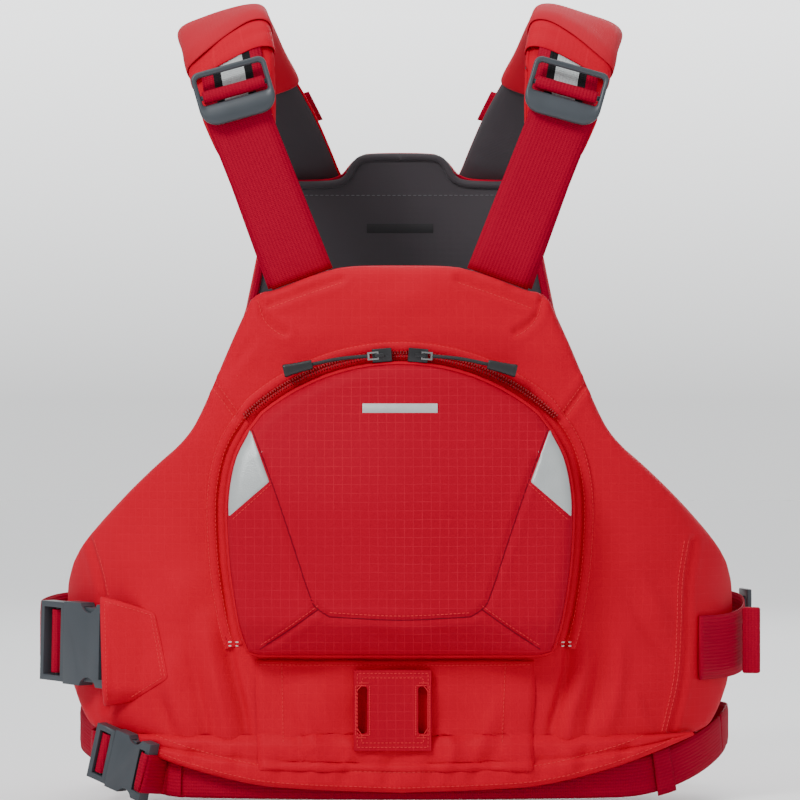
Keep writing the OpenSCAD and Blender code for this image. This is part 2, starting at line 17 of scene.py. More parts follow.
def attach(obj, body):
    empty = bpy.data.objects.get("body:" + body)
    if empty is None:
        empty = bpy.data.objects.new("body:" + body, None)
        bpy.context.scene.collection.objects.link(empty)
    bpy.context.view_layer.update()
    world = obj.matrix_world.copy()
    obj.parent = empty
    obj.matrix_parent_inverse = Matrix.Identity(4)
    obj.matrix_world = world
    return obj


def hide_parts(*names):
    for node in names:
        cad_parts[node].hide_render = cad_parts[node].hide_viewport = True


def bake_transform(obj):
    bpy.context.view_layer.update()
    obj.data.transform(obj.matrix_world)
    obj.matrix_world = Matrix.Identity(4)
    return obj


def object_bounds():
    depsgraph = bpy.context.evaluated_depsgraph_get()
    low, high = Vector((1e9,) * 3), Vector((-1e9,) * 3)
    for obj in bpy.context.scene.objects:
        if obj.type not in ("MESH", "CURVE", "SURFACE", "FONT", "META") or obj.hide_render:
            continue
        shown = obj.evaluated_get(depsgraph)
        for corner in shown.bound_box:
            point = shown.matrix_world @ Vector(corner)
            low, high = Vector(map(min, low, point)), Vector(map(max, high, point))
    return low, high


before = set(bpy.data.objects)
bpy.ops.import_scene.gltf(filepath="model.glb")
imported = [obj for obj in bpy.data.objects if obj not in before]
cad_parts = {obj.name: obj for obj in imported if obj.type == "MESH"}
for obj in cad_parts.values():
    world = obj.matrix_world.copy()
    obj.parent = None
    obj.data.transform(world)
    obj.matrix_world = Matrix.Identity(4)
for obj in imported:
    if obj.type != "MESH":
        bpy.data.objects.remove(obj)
cad_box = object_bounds()
MM = 0.001

# ---------------------------------------------------------------- torso measures, as in the CAD
FRONT_D = 132.0
FRONT_T = 38.0
BACK_T = 26.0
HALF_W = 214.0
CHEST_R = 600.0
TURN = math.radians(11.54)
SIDE_R = (HALF_W - CHEST_R * math.sin(TURN)) / (1 - math.sin(TURN))
SIDE_CX = HALF_W - SIDE_R
SIDE_CY = CHEST_R - (CHEST_R - SIDE_R) * math.cos(TURN) - FRONT_D
BACK_D = 2 * SIDE_CY + FRONT_D
STRAP_W = 40.0
BELT_W = 25.0
WEB_T = 2.0


def lerp(a, b, k):
    return a + (b - a) * k


def ease(x, lo, hi):
    k = np.clip((x - lo) / (hi - lo), 0, 1)
    return k * k * (3 - 2 * k)


def unit(v):
    v = np.asarray(v, float)
    return v / np.linalg.norm(v)


def tangent(line, i):
    """The direction of a line of points at its point i."""
    return unit(line[min(len(line) - 1, i + 1)] - line[max(0, i - 1)])


def curve(points, n):
    """A smooth curve through a few points, with n steps between each two."""
    p = np.asarray(points, float)
    out = []
    for i in range(len(p) - 1):
        p0, p1, p2, p3 = p[max(0, i - 1)], p[i], p[i + 1], p[min(len(p) - 1, i + 2)]
        for j in range(n):
            k = j / n
            out.append(0.5 * (2 * p1 + (p2 - p0) * k + (2 * p0 - 5 * p1 + 4 * p2 - p3) * k * k
                              + (3 * p1 - p0 - 3 * p2 + p3) * k ** 3))
    return np.array(out + [p[-1]])


def evenly(line, step, closed=False):
    """The same line with points one step apart."""
    line = np.asarray(line, float)
    if closed:
        line = np.vstack([line, line[:1]])
    along = np.concatenate([[0], np.cumsum(np.linalg.norm(np.diff(line, axis=0), axis=1))])
    n = max(2, int(round(along[-1] / step)) + 1)
    at = np.linspace(0, along[-1], n)
    out = np.stack([np.interp(at, along, line[:, k]) for k in range(line.shape[1])], 1)
    return out[:-1] if closed else out


def torso_point(h, depth, z):
    """A point inside the torso's outer face by depth; h is 0 in front, 90 at the right, 180 behind."""
    back = abs(h) > 90
    a = math.radians((180 - abs(h)) * np.sign(h) if back else h)
    s = 1 if back else -1
    if abs(a) <= TURN:
        centre_y = (BACK_D - CHEST_R) if back else (CHEST_R - FRONT_D)
        return np.array([(CHEST_R - depth) * math.sin(a), centre_y + s * (CHEST_R - depth) * math.cos(a), z])
    return np.array([np.sign(a) * SIDE_CX + (SIDE_R - depth) * math.sin(a),
                     SIDE_CY + s * (SIDE_R - depth) * math.cos(a), z])


def unroll(co):
    """For points in mm: distance along the torso's outer face from its middle, depth, and outward normals."""
    x, y = co[:, 0], co[:, 1]
    s = np.where(y < SIDE_CY, -1, 1)
    side = np.arctan2(np.abs(x) - SIDE_CX, s * (y - SIDE_CY))
    chest_y = np.where(s < 0, CHEST_R - FRONT_D, BACK_D - CHEST_R)
    chest = np.arctan2(np.abs(x), s * (y - chest_y))
    on_side = side >= TURN
    angle = np.where(on_side, side, chest)
    arc = np.where(on_side, CHEST_R * TURN + SIDE_R * (side - TURN), CHEST_R * chest) * np.sign(x)
    reach = np.where(on_side, np.hypot(np.abs(x) - SIDE_CX, y - SIDE_CY), np.hypot(x, y - chest_y))
    depth = np.where(on_side, SIDE_R, CHEST_R) - reach
    normal = np.stack([np.sin(angle) * np.sign(x), s * np.cos(angle), np.zeros(len(x))], 1)
    return arc, depth, normal


# ---------------------------------------------------------------- camera, floor and light
def placed(name, data):
    """A new object in the scene that shows the data."""
    obj = bpy.data.objects.new(name, data)
    bpy.context.collection.objects.link(obj)
    return obj


def node(tree, kind, inputs, **settings):
    made = tree.nodes.new(kind)
    for key, value in settings.items():
        setattr(made, key, value)
    for key, value in inputs.items():
        if isinstance(value, bpy.types.NodeSocket):
            tree.links.new(value, made.inputs[key])
        else:
            made.inputs[key].default_value = value
    return made


FLOOR_Z = cad_box[0].z - 0.004
# The world's strength all round, and behind the object at the horizon and above it
SKY = 0.6
BACKDROP_LOW = 1.15
BACKDROP_HIGH = 2.6
GLOW_TOP = 0.08
# The backdrop is a cone towards +Y: the share of a direction that points that way at its edge and inside it
CONE_EDGE = 0.93
CONE_CORE = 0.985
MIDDLE = (0, 0, -0.25)
UPPER_MIDDLE = (0, 0, -0.2)
# Each light's name, place, aim, power in watts and size in metres
LIGHTS = [
    ("key_light", (-1.3, -1.9, 1.6), MIDDLE, 56, 0.8),
    ("fill_light", (1.5, -1.7, 0.5), MIDDLE, 6, 1.5),
    ("top_light", (0, 0.2, 2.0), UPPER_MIDDLE, 22, 1.6),
    ("back_light", (0.6, 2.2, 0.9), UPPER_MIDDLE, 14, 1.4),
]


def ranged(tree, value, lo, hi, out_lo, out_hi):
    """The value from lo to hi, carried over to out_lo to out_hi and held at the ends."""
    return node(tree, "ShaderNodeMapRange", {"Value": value, "From Min": lo, "From Max": hi,
                                             "To Min": out_lo, "To Max": out_hi}).outputs[0]


def area_light(name, place, aim, power, size):
    data = bpy.data.lights.new(name, "AREA")
    data.energy = power
    data.size = size
    light = placed(name, data)
    light.location = place
    light.rotation_mode = "QUATERNION"
    light.rotation_quaternion = (Vector(aim) - Vector(place)).to_track_quat("-Z", "Y")


def studio():
    camera = placed("camera", bpy.data.cameras.new("camera"))
    camera.location = (0, -3.08, -0.232)
    camera.rotation_euler = (math.radians(90), 0, 0)
    camera.data.sensor_width = 36
    camera.data.lens = 215
    bpy.context.scene.camera = camera
    for light in LIGHTS:
        area_light(*light)
    world = bpy.context.scene.world or bpy.data.worlds.new("world")
    bpy.context.scene.world = world
    world.use_nodes = True
    tree = world.node_tree
    toward = node(tree, "ShaderNodeTexCoord", {}).outputs["Generated"]
    parts = node(tree, "ShaderNodeSeparateXYZ", {0: toward})
    glow = ranged(tree, parts.outputs[2], 0.0, GLOW_TOP, BACKDROP_LOW, BACKDROP_HIGH)
    strength = ranged(tree, parts.outputs[1], CONE_EDGE, CONE_CORE, SKY, glow)
    shader = tree.nodes["Background"]
    shader.inputs["Color"].default_value = (0.94, 0.95, 0.96, 1)
    tree.links.new(strength, shader.inputs["Strength"])


studio()


# ---------------------------------------------------------------- materials
def srgb(r, g, b):
    """A colour given as 0 to 255 values, in linear light."""
    c = np.array([r, g, b]) / 255
    return tuple(np.where(c <= 0.04045, c / 12.92, ((c + 0.055) / 1.055) ** 2.4)) + (1,)


SHELL = srgb(198, 0, 38)
POCKET = srgb(172, 0, 36)
STRETCH = srgb(190, 0, 36)
WEBBING = srgb(162, 2, 40)
# Dark red of the strips along the pocket's seams: painted shade standing in for the shadow in the seam
# grooves
SEAM_SHADE = srgb(116, 0, 22)
CLOTH_SPECULAR = 0.06
LINER = srgb(62, 58, 62)
SILVER = srgb(188, 193, 193)
PLASTIC = srgb(58, 64, 70)
BLACK = srgb(28, 28, 30)


def tree_of(name, roughness, metallic=0.0, specular=0.5):
    made = bpy.data.materials.new(name)
    made.use_nodes = True
    shader = made.node_tree.nodes["Principled BSDF"]
    shader.inputs["Specular IOR Level"].default_value = specular
    shader.inputs["Roughness"].default_value = roughness
    shader.inputs["Metallic"].default_value = metallic
    return made, made.node_tree, shader


def calc(tree, operation, a, b=0.0):
    return node(tree, "ShaderNodeMath", {0: a, 1: b}, operation=operation).outputs[0]


def mixed(tree, factor, a, b):
    made = node(tree, "ShaderNodeMix", {"Factor": factor}, data_type="RGBA")
    for key, value in ((6, a), (7, b)):
        if isinstance(value, bpy.types.NodeSocket):
            tree.links.new(value, made.inputs[key])
        else:
            made.inputs[key].default_value = value
    return made.outputs[2]


def scaled(color, k):
    return tuple(min(1, c * k) for c in color[:3]) + (1,)


def noise(tree, where, scale, detail=3.0):
    made = node(tree, "ShaderNodeTexNoise", {"Vector": where, "Scale": scale, "Detail": detail})
    return made.outputs["Fac"]


def uv_axes(tree):
    """The cloth's coordinates, across and along it, in metres."""
    uv = node(tree, "ShaderNodeUVMap", {}, uv_map="UVMap").outputs[0]
    parts = node(tree, "ShaderNodeSeparateXYZ", {0: uv})
    return parts.outputs[0], parts.outputs[1]


def object_place(tree):
    return node(tree, "ShaderNodeTexCoord", {}).outputs["Object"]


def lines(tree, value, pitch, share):
    """1 on lines that are share of each pitch wide, and 0 between them."""
    k = calc(tree, "FRACT", calc(tree, "DIVIDE", value, pitch))
    off = calc(tree, "ABSOLUTE", calc(tree, "SUBTRACT", k, 0.5))
    return calc(tree, "LESS_THAN", off, share / 2)


def waves(tree, value, pitch):
    """A smooth 0 to 1 wave with that pitch."""
    s = calc(tree, "SINE", calc(tree, "MULTIPLY", value, 2 * math.pi / pitch))
    return calc(tree, "ADD", calc(tree, "MULTIPLY", s, 0.5), 0.5)


def bump(tree, shader, height, strength, distance):
    made = node(tree, "ShaderNodeBump", {"Height": height, "Strength": strength, "Distance": distance})
    tree.links.new(made.outputs[0], shader.inputs["Normal"])


def ripstop(name, color, gain, tint, cell=0.0054, roughness=0.55):
    """Woven nylon with a faint, patchy grid of raised threads."""
    made, tree, shader = tree_of(name, roughness, specular=CLOTH_SPECULAR)
    u, v = uv_axes(tree)
    where = object_place(tree)
    wobble = calc(tree, "MULTIPLY", calc(tree, "SUBTRACT", noise(tree, where, 30), 0.5), 0.0016)
    u = calc(tree, "ADD", u, wobble)
    v = calc(tree, "ADD", v, wobble)
    grid = calc(tree, "MAXIMUM", lines(tree, u, cell, 0.08), lines(tree, v, cell, 0.08))
    weave = calc(tree, "MULTIPLY", waves(tree, u, 0.0007), waves(tree, v, 0.0007))
    patchy = noise(tree, where, 260, 2.0)
    shown = calc(tree, "MULTIPLY", noise(tree, where, 22), calc(tree, "MULTIPLY", patchy, 2.4))
    worn = calc(tree, "MULTIPLY", grid, shown)
    base = mixed(tree, noise(tree, where, 9), scaled(color, 0.9), scaled(color, 1.08))
    thread = tuple(np.clip(np.array(color[:3]) * gain + tint, 0, 1)) + (1,)
    tree.links.new(mixed(tree, worn, base, thread), shader.inputs["Base Color"])
    height = calc(tree, "ADD", calc(tree, "MULTIPLY", worn, 0.6), calc(tree, "MULTIPLY", weave, 0.35))
    height = calc(tree, "ADD", height, calc(tree, "MULTIPLY", noise(tree, where, 90), 1.6))
    bump(tree, shader, height, 0.4, 0.0004)
    return made


def plain_cloth(name, color, pitch, roughness, sheen, strength=0.35):
    """A plain or knitted cloth: fine weave and soft variation, no grid."""
    made, tree, shader = tree_of(name, roughness, specular=0.2)
    u, v = uv_axes(tree)
    where = object_place(tree)
    base = mixed(tree, noise(tree, where, 12), scaled(color, 0.9), scaled(color, 1.1))
    weave = calc(tree, "MULTIPLY", waves(tree, u, pitch), waves(tree, v, pitch))
    tree.links.new(mixed(tree, calc(tree, "MULTIPLY", weave, 0.25), base, scaled(color, 0.75)),
                   shader.inputs["Base Color"])
    height = calc(tree, "ADD", weave, calc(tree, "MULTIPLY", noise(tree, where, 140), 0.9))
    bump(tree, shader, height, strength, 0.0003)
    shader.inputs["Sheen Weight"].default_value = sheen
    shader.inputs["Sheen Roughness"].default_value = 0.45
    return made


def webbing_cloth(name, color, bands=()):
    """Woven webbing: ribs along it, fine picks across it. Bands are (from, to, colour) across its width."""
    made, tree, shader = tree_of(name, 0.6, specular=CLOTH_SPECULAR)
    u, v = uv_axes(tree)
    where = object_place(tree)
    rib = waves(tree, u, 0.0021)
    pick = waves(tree, v, 0.0011)
    base = mixed(tree, noise(tree, where, 25), scaled(color, 0.88), scaled(color, 1.12))
    base = mixed(tree, calc(tree, "MULTIPLY", rib, 0.45), base, scaled(color, 0.68))
    base = mixed(tree, calc(tree, "MULTIPLY", pick, 0.25), base, scaled(color, 1.3))
    for lo, hi, band in bands:
        inside = calc(tree, "MULTIPLY", calc(tree, "GREATER_THAN", u, lo), calc(tree, "LESS_THAN", u, hi))
        tint = mixed(tree, calc(tree, "MULTIPLY", pick, 0.3), band, scaled(band, 0.8))
        base = mixed(tree, inside, base, tint)
    tree.links.new(base, shader.inputs["Base Color"])
    height = calc(tree, "ADD", calc(tree, "MULTIPLY", rib, -0.8), calc(tree, "MULTIPLY", pick, 0.6))
    bump(tree, shader, height, 0.6, 0.0004)
    return made


def reflective(name, color):
    """Silver retroreflective tape: tiny beads and faint crinkles."""
    made, tree, shader = tree_of(name, 0.42, 0.25)
    where = object_place(tree)
    beads = node(tree, "ShaderNodeTexVoronoi", {"Vector": where, "Scale": 1500.0}).outputs["Distance"]
    base = mixed(tree, noise(tree, where, 55), scaled(color, 0.82), scaled(color, 1.08))
    tree.links.new(base, shader.inputs["Base Color"])
    height = calc(tree, "ADD", beads, calc(tree, "MULTIPLY", noise(tree, where, 120), 2.0))
    bump(tree, shader, height, 0.3, 0.0003)
    return made


def moulded(name, color, roughness, grain=900.0, metallic=0.0):
    """Moulded plastic or painted metal: fine spark-eroded grain, slight scuffing."""
    made, tree, shader = tree_of(name, roughness, metallic)
    where = object_place(tree)
    scuff = noise(tree, where, 60, 6.0)
    tree.links.new(mixed(tree, scuff, scaled(color, 0.85), scaled(color, 1.2)), shader.inputs["Base Color"])
    rough = calc(tree, "ADD", calc(tree, "MULTIPLY", scuff, 0.25), roughness - 0.12)
    tree.links.new(rough, shader.inputs["Roughness"])
    bump(tree, shader, noise(tree, where, grain, 2.0), 0.15, 0.0002)
    return made


def braided(name, color):
    made, tree, shader = tree_of(name, 0.7)
    where = object_place(tree)
    cells = node(tree, "ShaderNodeTexVoronoi", {"Vector": where, "Scale": 1300.0}).outputs["Distance"]
    tree.links.new(mixed(tree, cells, scaled(color, 1.6), scaled(color, 0.6)), shader.inputs["Base Color"])
    bump(tree, shader, cells, 0.6, 0.0003)
    return made


def floor_material():
    made, tree, shader = tree_of("studio_floor", 0.3)
    where = object_place(tree)
    tree.links.new(mixed(tree, noise(tree, where, 3), srgb(243, 244, 245), srgb(247, 247, 248)),
                   shader.inputs["Base Color"])
    return made


# Half widths of the grey and the black bands of the striped webbing
GREY_HALF = 0.0075
BLACK_HALF = 0.0125
MATERIAL = {
    "shell_fabric": ripstop("shell_ripstop", SHELL, 1.06, 0.003),
    "pocket_fabric": ripstop("pocket_ripstop", POCKET, 1.22, 0.006),
    "stretch_fabric": plain_cloth("stretch_knit", STRETCH, 0.0006, 0.7, 0.05),
    "liner_fabric": plain_cloth("liner_cloth", LINER, 0.0008, 0.6, 0.1),
    # Painted shade for the pocket's seam grooves
    "seam_shade": plain_cloth("painted_seam_shade_cloth", SEAM_SHADE, 0.0006, 0.8, 0.0),
    "webbing": webbing_cloth("ribbed_webbing", WEBBING),
    "reflective_webbing": webbing_cloth("striped_webbing", WEBBING, [
        (-BLACK_HALF, BLACK_HALF, BLACK), (-GREY_HALF, GREY_HALF, SILVER)]),
    "reflective_fabric": reflective("reflective_tape", SILVER),
    "foam": plain_cloth("closed_cell_foam", srgb(225, 225, 218), 0.002, 0.9, 0.0),
    "zip_coil": moulded("nylon_coil", srgb(150, 16, 30), 0.5),
    "buckle_plastic": moulded("moulded_acetal", PLASTIC, 0.42),
    "slider_metal": moulded("dark_metal", srgb(60, 60, 62), 0.35, 500.0, 0.7),
    "ring_metal": moulded("nickel_ring", srgb(150, 150, 150), 0.3, 500.0, 0.9),
    "grip_plastic": moulded("moulded_grip", BLACK, 0.4),
    "cord_black": braided("braided_cord", srgb(34, 34, 36)),
    "thread": plain_cloth("stitching_thread", srgb(216, 34, 50), 0.0004, 0.7, 0.0),
    "pale_thread": plain_cloth("bartack_thread", srgb(235, 205, 200), 0.0004, 0.7, 0.1),
    "grey_thread": plain_cloth("liner_thread", srgb(105, 105, 108), 0.0004, 0.7, 0.1),
    "dark_mark": plain_cloth("printed_mark", srgb(42, 42, 44), 0.0006, 0.5, 0.0),
}
# The slot of each material that is not named after one
SLOT_OF = {
    "reflective_webbing": "reflective_fabric", "ring_metal": "slider_metal", "thread": "shell_fabric",
    "pale_thread": "shell_fabric", "seam_shade": "pocket_fabric", "grey_thread": "liner_fabric",
    "dark_mark": "liner_fabric",
}


# ---------------------------------------------------------------- mesh helpers
def made_object(name, verts, faces, uvs=None):
    """A mesh from points in mm; uvs are one (u, v) in mm for each corner of each face."""
    mesh = bpy.data.meshes.new(name)
    points = [tuple(float(c) * MM for c in v) for v in verts]
    mesh.from_pydata(points, [], [tuple(map(int, f)) for f in faces])
    obj = placed(name, mesh)
    if uvs is not None:
        layer = mesh.uv_layers.new(name="UVMap")
        layer.data.foreach_set("uv", (np.asarray(uvs, float) * MM).astype(np.float32).ravel())
    mesh.validate()
    mesh.shade_smooth()
    return obj


def finished(obj, body, material, replaces=(), smooth=True):
    """Gives a piece its material and body, and hides the CAD nodes it stands for."""
    obj.data.materials.clear()
    obj.data.materials.append(MATERIAL[material])
    if smooth and obj.type == "MESH":
        obj.data.shade_smooth()
    SLOT_OF.get(material, material)
    if replaces:
        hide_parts(*replaces)
    if body:
        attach(obj, body)
    return obj


def applied(obj):
    """Bakes the object's modifiers into its mesh."""
    bpy.context.view_layer.update()
    graph = bpy.context.evaluated_depsgraph_get()
    mesh = bpy.data.meshes.new_from_object(obj.evaluated_get(graph))
    old = obj.data
    obj.modifiers.clear()
    obj.data = mesh
    bpy.data.meshes.remove(old)
    return obj


def copy_of(name, *nodes):
    """A new object with the CAD nodes' meshes joined."""
    bm = bmesh.new()
    for n in nodes:
        bm.from_mesh(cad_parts[n].data)
    bmesh.ops.remove_doubles(bm, verts=bm.verts, dist=1e-6)
    mesh = bpy.data.meshes.new(name)
    bm.to_mesh(mesh)
    bm.free()
    obj = placed(name, mesh)
    return obj


def modified(obj, kind, **settings):
    m = obj.modifiers.new(kind.lower(), kind)
    for key, value in settings.items():
        setattr(m, key, value)
    return applied(obj)


@contextmanager
def edited(obj):
    """The object's mesh as a bmesh, written back at the end."""
    bm = bmesh.new()
    bm.from_mesh(obj.data)
    yield bm
    bm.to_mesh(obj.data)
    bm.free()


def values(items, name, width=1, kind=np.float32):
    """One property of all the items of a mesh, in rows when each has more than one number."""
    out = np.empty(len(items) * width, kind)
    items.foreach_get(name, out)
    return out.reshape(-1, width) if width > 1 else out


def points_of(obj):
    return values(obj.data.vertices, "co", 3).astype(float) / MM


def move_points(obj, co):
    obj.data.vertices.foreach_set("co", (np.asarray(co) * MM).astype(np.float32).ravel())
    obj.data.update()


def normals_of(obj):
    return values(obj.data.vertex_normals, "vector", 3).astype(float)


def map_cloth(obj, flat=False):
    """Cloth coordinates in metres: round the torso and up it, or by the face's main direction when flat."""
    mesh = obj.data
    co = points_of(obj)
    if flat:
        along, depth = co[:, 0], co[:, 1]
    else:
        along, depth, _ = unroll(co)
    layer = mesh.uv_layers.get("UVMap") or mesh.uv_layers.new(name="UVMap")
    loops = values(mesh.loops, "vertex_index", kind=np.int32)
    totals = values(mesh.polygons, "loop_total", kind=np.int32)
    normal = values(mesh.polygons, "normal", 3)
    centre = values(mesh.polygons, "center", 3)
    if flat:
        out = np.abs(normal[:, 1])
        side = np.abs(normal[:, 0])
    else:
        outward = unroll(centre.astype(float) / MM)[2]
        out = np.abs((normal * outward).sum(1))
        side = np.abs(normal[:, 0] * outward[:, 1] - normal[:, 1] * outward[:, 0])
    up = np.abs(normal[:, 2])
    facing = np.repeat(np.where(up > np.maximum(out, side), 2, np.where(side > out, 1, 0)), totals)
    z = co[loops, 2]
    u = np.where(facing == 1, depth[loops], along[loops])
    v = np.where(facing == 2, depth[loops], z)
    layer.data.foreach_set("uv", (np.stack([u, v], 1) * MM).astype(np.float32).ravel())
    return obj


def nearness(co2, line):
    """Distance from each 2-D point to a polyline, and how far along it the nearest place is."""
    line = np.asarray(line, float)
    best = np.full(len(co2), 1e9)
    along = np.zeros(len(co2))
    start = 0.0
    for a, b in zip(line[:-1], line[1:]):
        d = b - a
        length = np.linalg.norm(d)
        k = np.clip(((co2 - a) @ d) / (length * length + 1e-9), 0, 1)
        dist = np.linalg.norm(co2 - (a + k[:, None] * d), axis=1)
        near = dist < best
        best = np.where(near, dist, best)
        along = np.where(near, start + k * length, along)
        start += length
    return best, along / max(start, 1e-9)


def grid_mesh(name, rows, uvs, closed=False):
    """A sheet from rows of points, all the same length; closed joins each row's ends."""
    rows = np.asarray(rows, float)
    n, m = rows.shape[:2]
    faces, corners = [], []
    for i in range(n - 1):
        for j in range(m if closed else m - 1):
            k = (j + 1) % m
            faces.append((i * m + j, i * m + k, (i + 1) * m + k, (i + 1) * m + j))
            corners += [uvs[i][j], uvs[i][j + 1], uvs[i + 1][j + 1], uvs[i + 1][j]]
    return made_object(name, rows.reshape(-1, 3), faces, corners)


def tube(name, line, radius, sides=8, caps=True):
    """A round tube along a line of points; radius is a number or one number for each point."""
    line = np.asarray(line, float)
    radii = np.broadcast_to(radius, (len(line),))
    verts, faces, corners = [], [], []
    up = np.array([0, 0, 1.0])
    far = 0.0
    for i, p in enumerate(line):
        t = tangent(line, i)
        u = np.cross(t, up if abs(t @ up) < 0.95 else np.array([0, 1.0, 0]))
        u = unit(u)
        v = np.cross(t, u)
        for k in range(sides):
            a = 2 * math.pi * k / sides
            verts.append(p + radii[i] * (math.cos(a) * u + math.sin(a) * v))
    girth = 2 * math.pi * float(np.mean(radii))
    for i in range(len(line) - 1):
        step = float(np.linalg.norm(line[i + 1] - line[i]))
        for k in range(sides):
            j = (k + 1) % sides
            faces.append((i * sides + k, i * sides + j, (i + 1) * sides + j, (i + 1) * sides + k))
            u0, u1 = girth * k / sides, girth * (k + 1) / sides
            corners += [(u0, far), (u1, far), (u1, far + step), (u0, far + step)]
        far += step
    if caps:
        last = (len(line) - 1) * sides
        faces.append(tuple(reversed(range(sides))))
        faces.append(tuple(last + k for k in range(sides)))
        corners += [(0, 0)] * (2 * sides)
    return made_object(name, verts, faces, corners)


def joined(name, objs):
    """Several mesh objects made into one."""
    bm = bmesh.new()
    for o in objs:
        bm.from_mesh(o.data)
    mesh = bpy.data.meshes.new(name)
    bm.to_mesh(mesh)
    bm.free()
    for o in objs:
        old = o.data
        bpy.data.objects.remove(o)
        bpy.data.meshes.remove(old)
    obj = placed(name, mesh)
    mesh.shade_smooth()
    return obj


def face_outward(obj):
    with edited(obj) as bm:
        bmesh.ops.recalc_face_normals(bm, faces=bm.faces)
    return obj


def close_ends(obj, count, rows):
    """Closes both ends of a mesh made of rings."""
    with edited(obj) as bm:
        verts = list(bm.verts)
        bm.faces.new(verts[:count][::-1])
        bm.faces.new(verts[(rows - 1) * count:rows * count])
        bmesh.ops.recalc_face_normals(bm, faces=bm.faces)
    return obj


class Skin:
    """The outer surface of finished pieces, for laying other pieces on."""

    def __init__(self, *objs):
        bm = bmesh.new()
        for o in objs:
            bm.from_mesh(o.data)
        self.tree = BVHTree.FromBMesh(bm)
        bm.free()

    def cast(self, x, z, start, nearby, farthest, lift):
        """The first point behind start at (x, z), and its normal.

        Where there is none, or it lies past farthest, it is the point nearest to (x, nearby, z). These three
        places along Y are in metres.
        """
        hit, normal, _, _ = self.tree.ray_cast(Vector((x * MM, start, z * MM)), Vector((0, 1, 0)))
        if hit is None or hit.y > farthest:
            hit, normal, _, _ = self.tree.find_nearest(Vector((x * MM, nearby, z * MM)))
        normal = np.array(normal)
        normal = normal if normal[1] < 0 else -normal
        return np.array(hit) / MM + normal * lift, normal

    def front(self, x, z, lift=0.0):
        """The point on the surface straight behind (x, z) as seen from the front, and its normal."""
        return self.cast(x, z, -0.6, -0.2, 0.0, lift)

    def inside(self, x, z, lift=0.0):
        """The point on the inner face of the back, seen from the front through the neck."""
        return self.cast(x, z, 0.0, 0.09, math.inf, lift)


def stitches(name, skin_point, line, pitch=2.6, length=1.9, radius=0.3, lift=0.05):
    """A row of short thread stitches laid on a surface along a line of (x, z) points."""
    at = evenly(line, pitch)
    k = length / pitch
    verts, faces = [], []
    for a, b in zip(at[:-1], at[1:]):
        p, n = skin_point(*a, lift)
        q, _ = skin_point(*lerp(a, b, k), lift)
        t = q - p
        if np.linalg.norm(t) > 3 * pitch or np.linalg.norm(t) < 1e-3:
            continue
        t = unit(t)
        side = np.cross(t, n)
        start = len(verts)
        for s, r in ((0.0, 0.35), (0.25, 1.0), (0.75, 1.0), (1.0, 0.35)):
            c = lerp(p, q, s)
            for u, v in ((-1, -0.4), (-0.6, 1), (0.6, 1), (1, -0.4)):
                verts.append(c + radius * r * (u * side + v * n))
        for i in range(3):
            for j in range(3):
                o = start + i * 4 + j
                faces.append((o, o + 4, o + 5, o + 1))
        faces.append((start + 3, start + 2, start + 1, start))
        faces.append((start + 12, start + 13, start + 14, start + 15))
    return made_object(name, verts, faces, [(0, 0)] * sum(len(f) for f in faces))


def stitching(name, skin_point, rows, body, material="thread", **thread):
    """Rows of stitches made into one finished piece."""
    made = [stitches("row", skin_point, row, **thread) for row in rows]
    finished(joined(name, made), body, material, smooth=False)


def strip(name, skin_point, line, width, lift=0.35, crown=0.5, n=5):
    """A flat band of cloth laid on a surface along a line of (x, z) points."""
    at = evenly(line, 2.5)
    rows, uvs = [], []
    far = 0.0
    for i, c in enumerate(at):
        t = tangent(at, i)
        side = np.array([-t[1], t[0]])
        row, uv = [], []
        for j in range(n):
            k = lerp(-1, 1, j / (n - 1))
            edge = -0.6 if abs(k) > 0.99 else lift + crown * (1 - k * k)
            row.append(skin_point(*(c + side * k * width / 2), edge)[0])
            uv.append((k * width / 2, far))
        rows.append(row)
        uvs.append(uv)
        if i + 1 < len(at):
            far += float(np.linalg.norm(at[i + 1] - c))
    return grid_mesh(name, rows, uvs)


# ---------------------------------------------------------------- pull cords
LEAN = math.radians(12)
SLIDER_TURN = math.radians(4.6)
ZIP_R = 138.0
ZIP_CZ = -342.0
ZIP_Y = -FRONT_D - 3.4
CORD_D = 2.4
CORD_ROUTE = [(9, -5.4, 0), (13, -5.7, 0.1), (18, -6, 0.1), (23, -6, 0), (28, -5.9, -0.3), (33, -5.8, -0.8),
              (38, -5.8, -1.5), (43, -5.8, -2.2)]


def turned(axis, angle):
    return np.array(Matrix.Rotation(angle, 3, axis))


ZIP_PLANE = turned("X", LEAN)
ZIP_CENTRE = np.array([0, ZIP_Y, ZIP_CZ + ZIP_R]) + ZIP_PLANE @ np.array([0, 0, -ZIP_R])


def slider_place(p, side):
    """A point in a slider's own frame, put in the shared frame."""
    upright = np.array([0, 0, ZIP_R]) + turned("X", -LEAN) @ np.asarray(p, float)
    q = ZIP_CENTRE + ZIP_PLANE @ turned("Y", SLIDER_TURN) @ upright
    return q * np.array([side, 1, 1])


def zip_point(degrees, out=0.0, radial=0.0):
    """A point on the zipper's arch, degrees from its top."""
    a = math.radians(degrees)
    reach = ZIP_R + radial
    return ZIP_CENTRE + ZIP_PLANE @ np.array([reach * math.sin(a), -out, reach * math.cos(a)])


def pull_cord(name, side):
    line = np.array([slider_place(p, side) for p in curve(CORD_ROUTE, 2)]) * MM
    data = bpy.data.curves.new(name, "CURVE")
    data.dimensions = "3D"
    data.bevel_depth = CORD_D / 2 * MM
    data.bevel_resolution = 3
    data.use_fill_caps = True
    spline = data.splines.new("POLY")
    spline.points.add(len(line) - 1)
    for q, p in zip(spline.points, line):
        q.co = (*p, 1)
    data.materials.append(MATERIAL["cord_black"])
    return placed(name, data), line


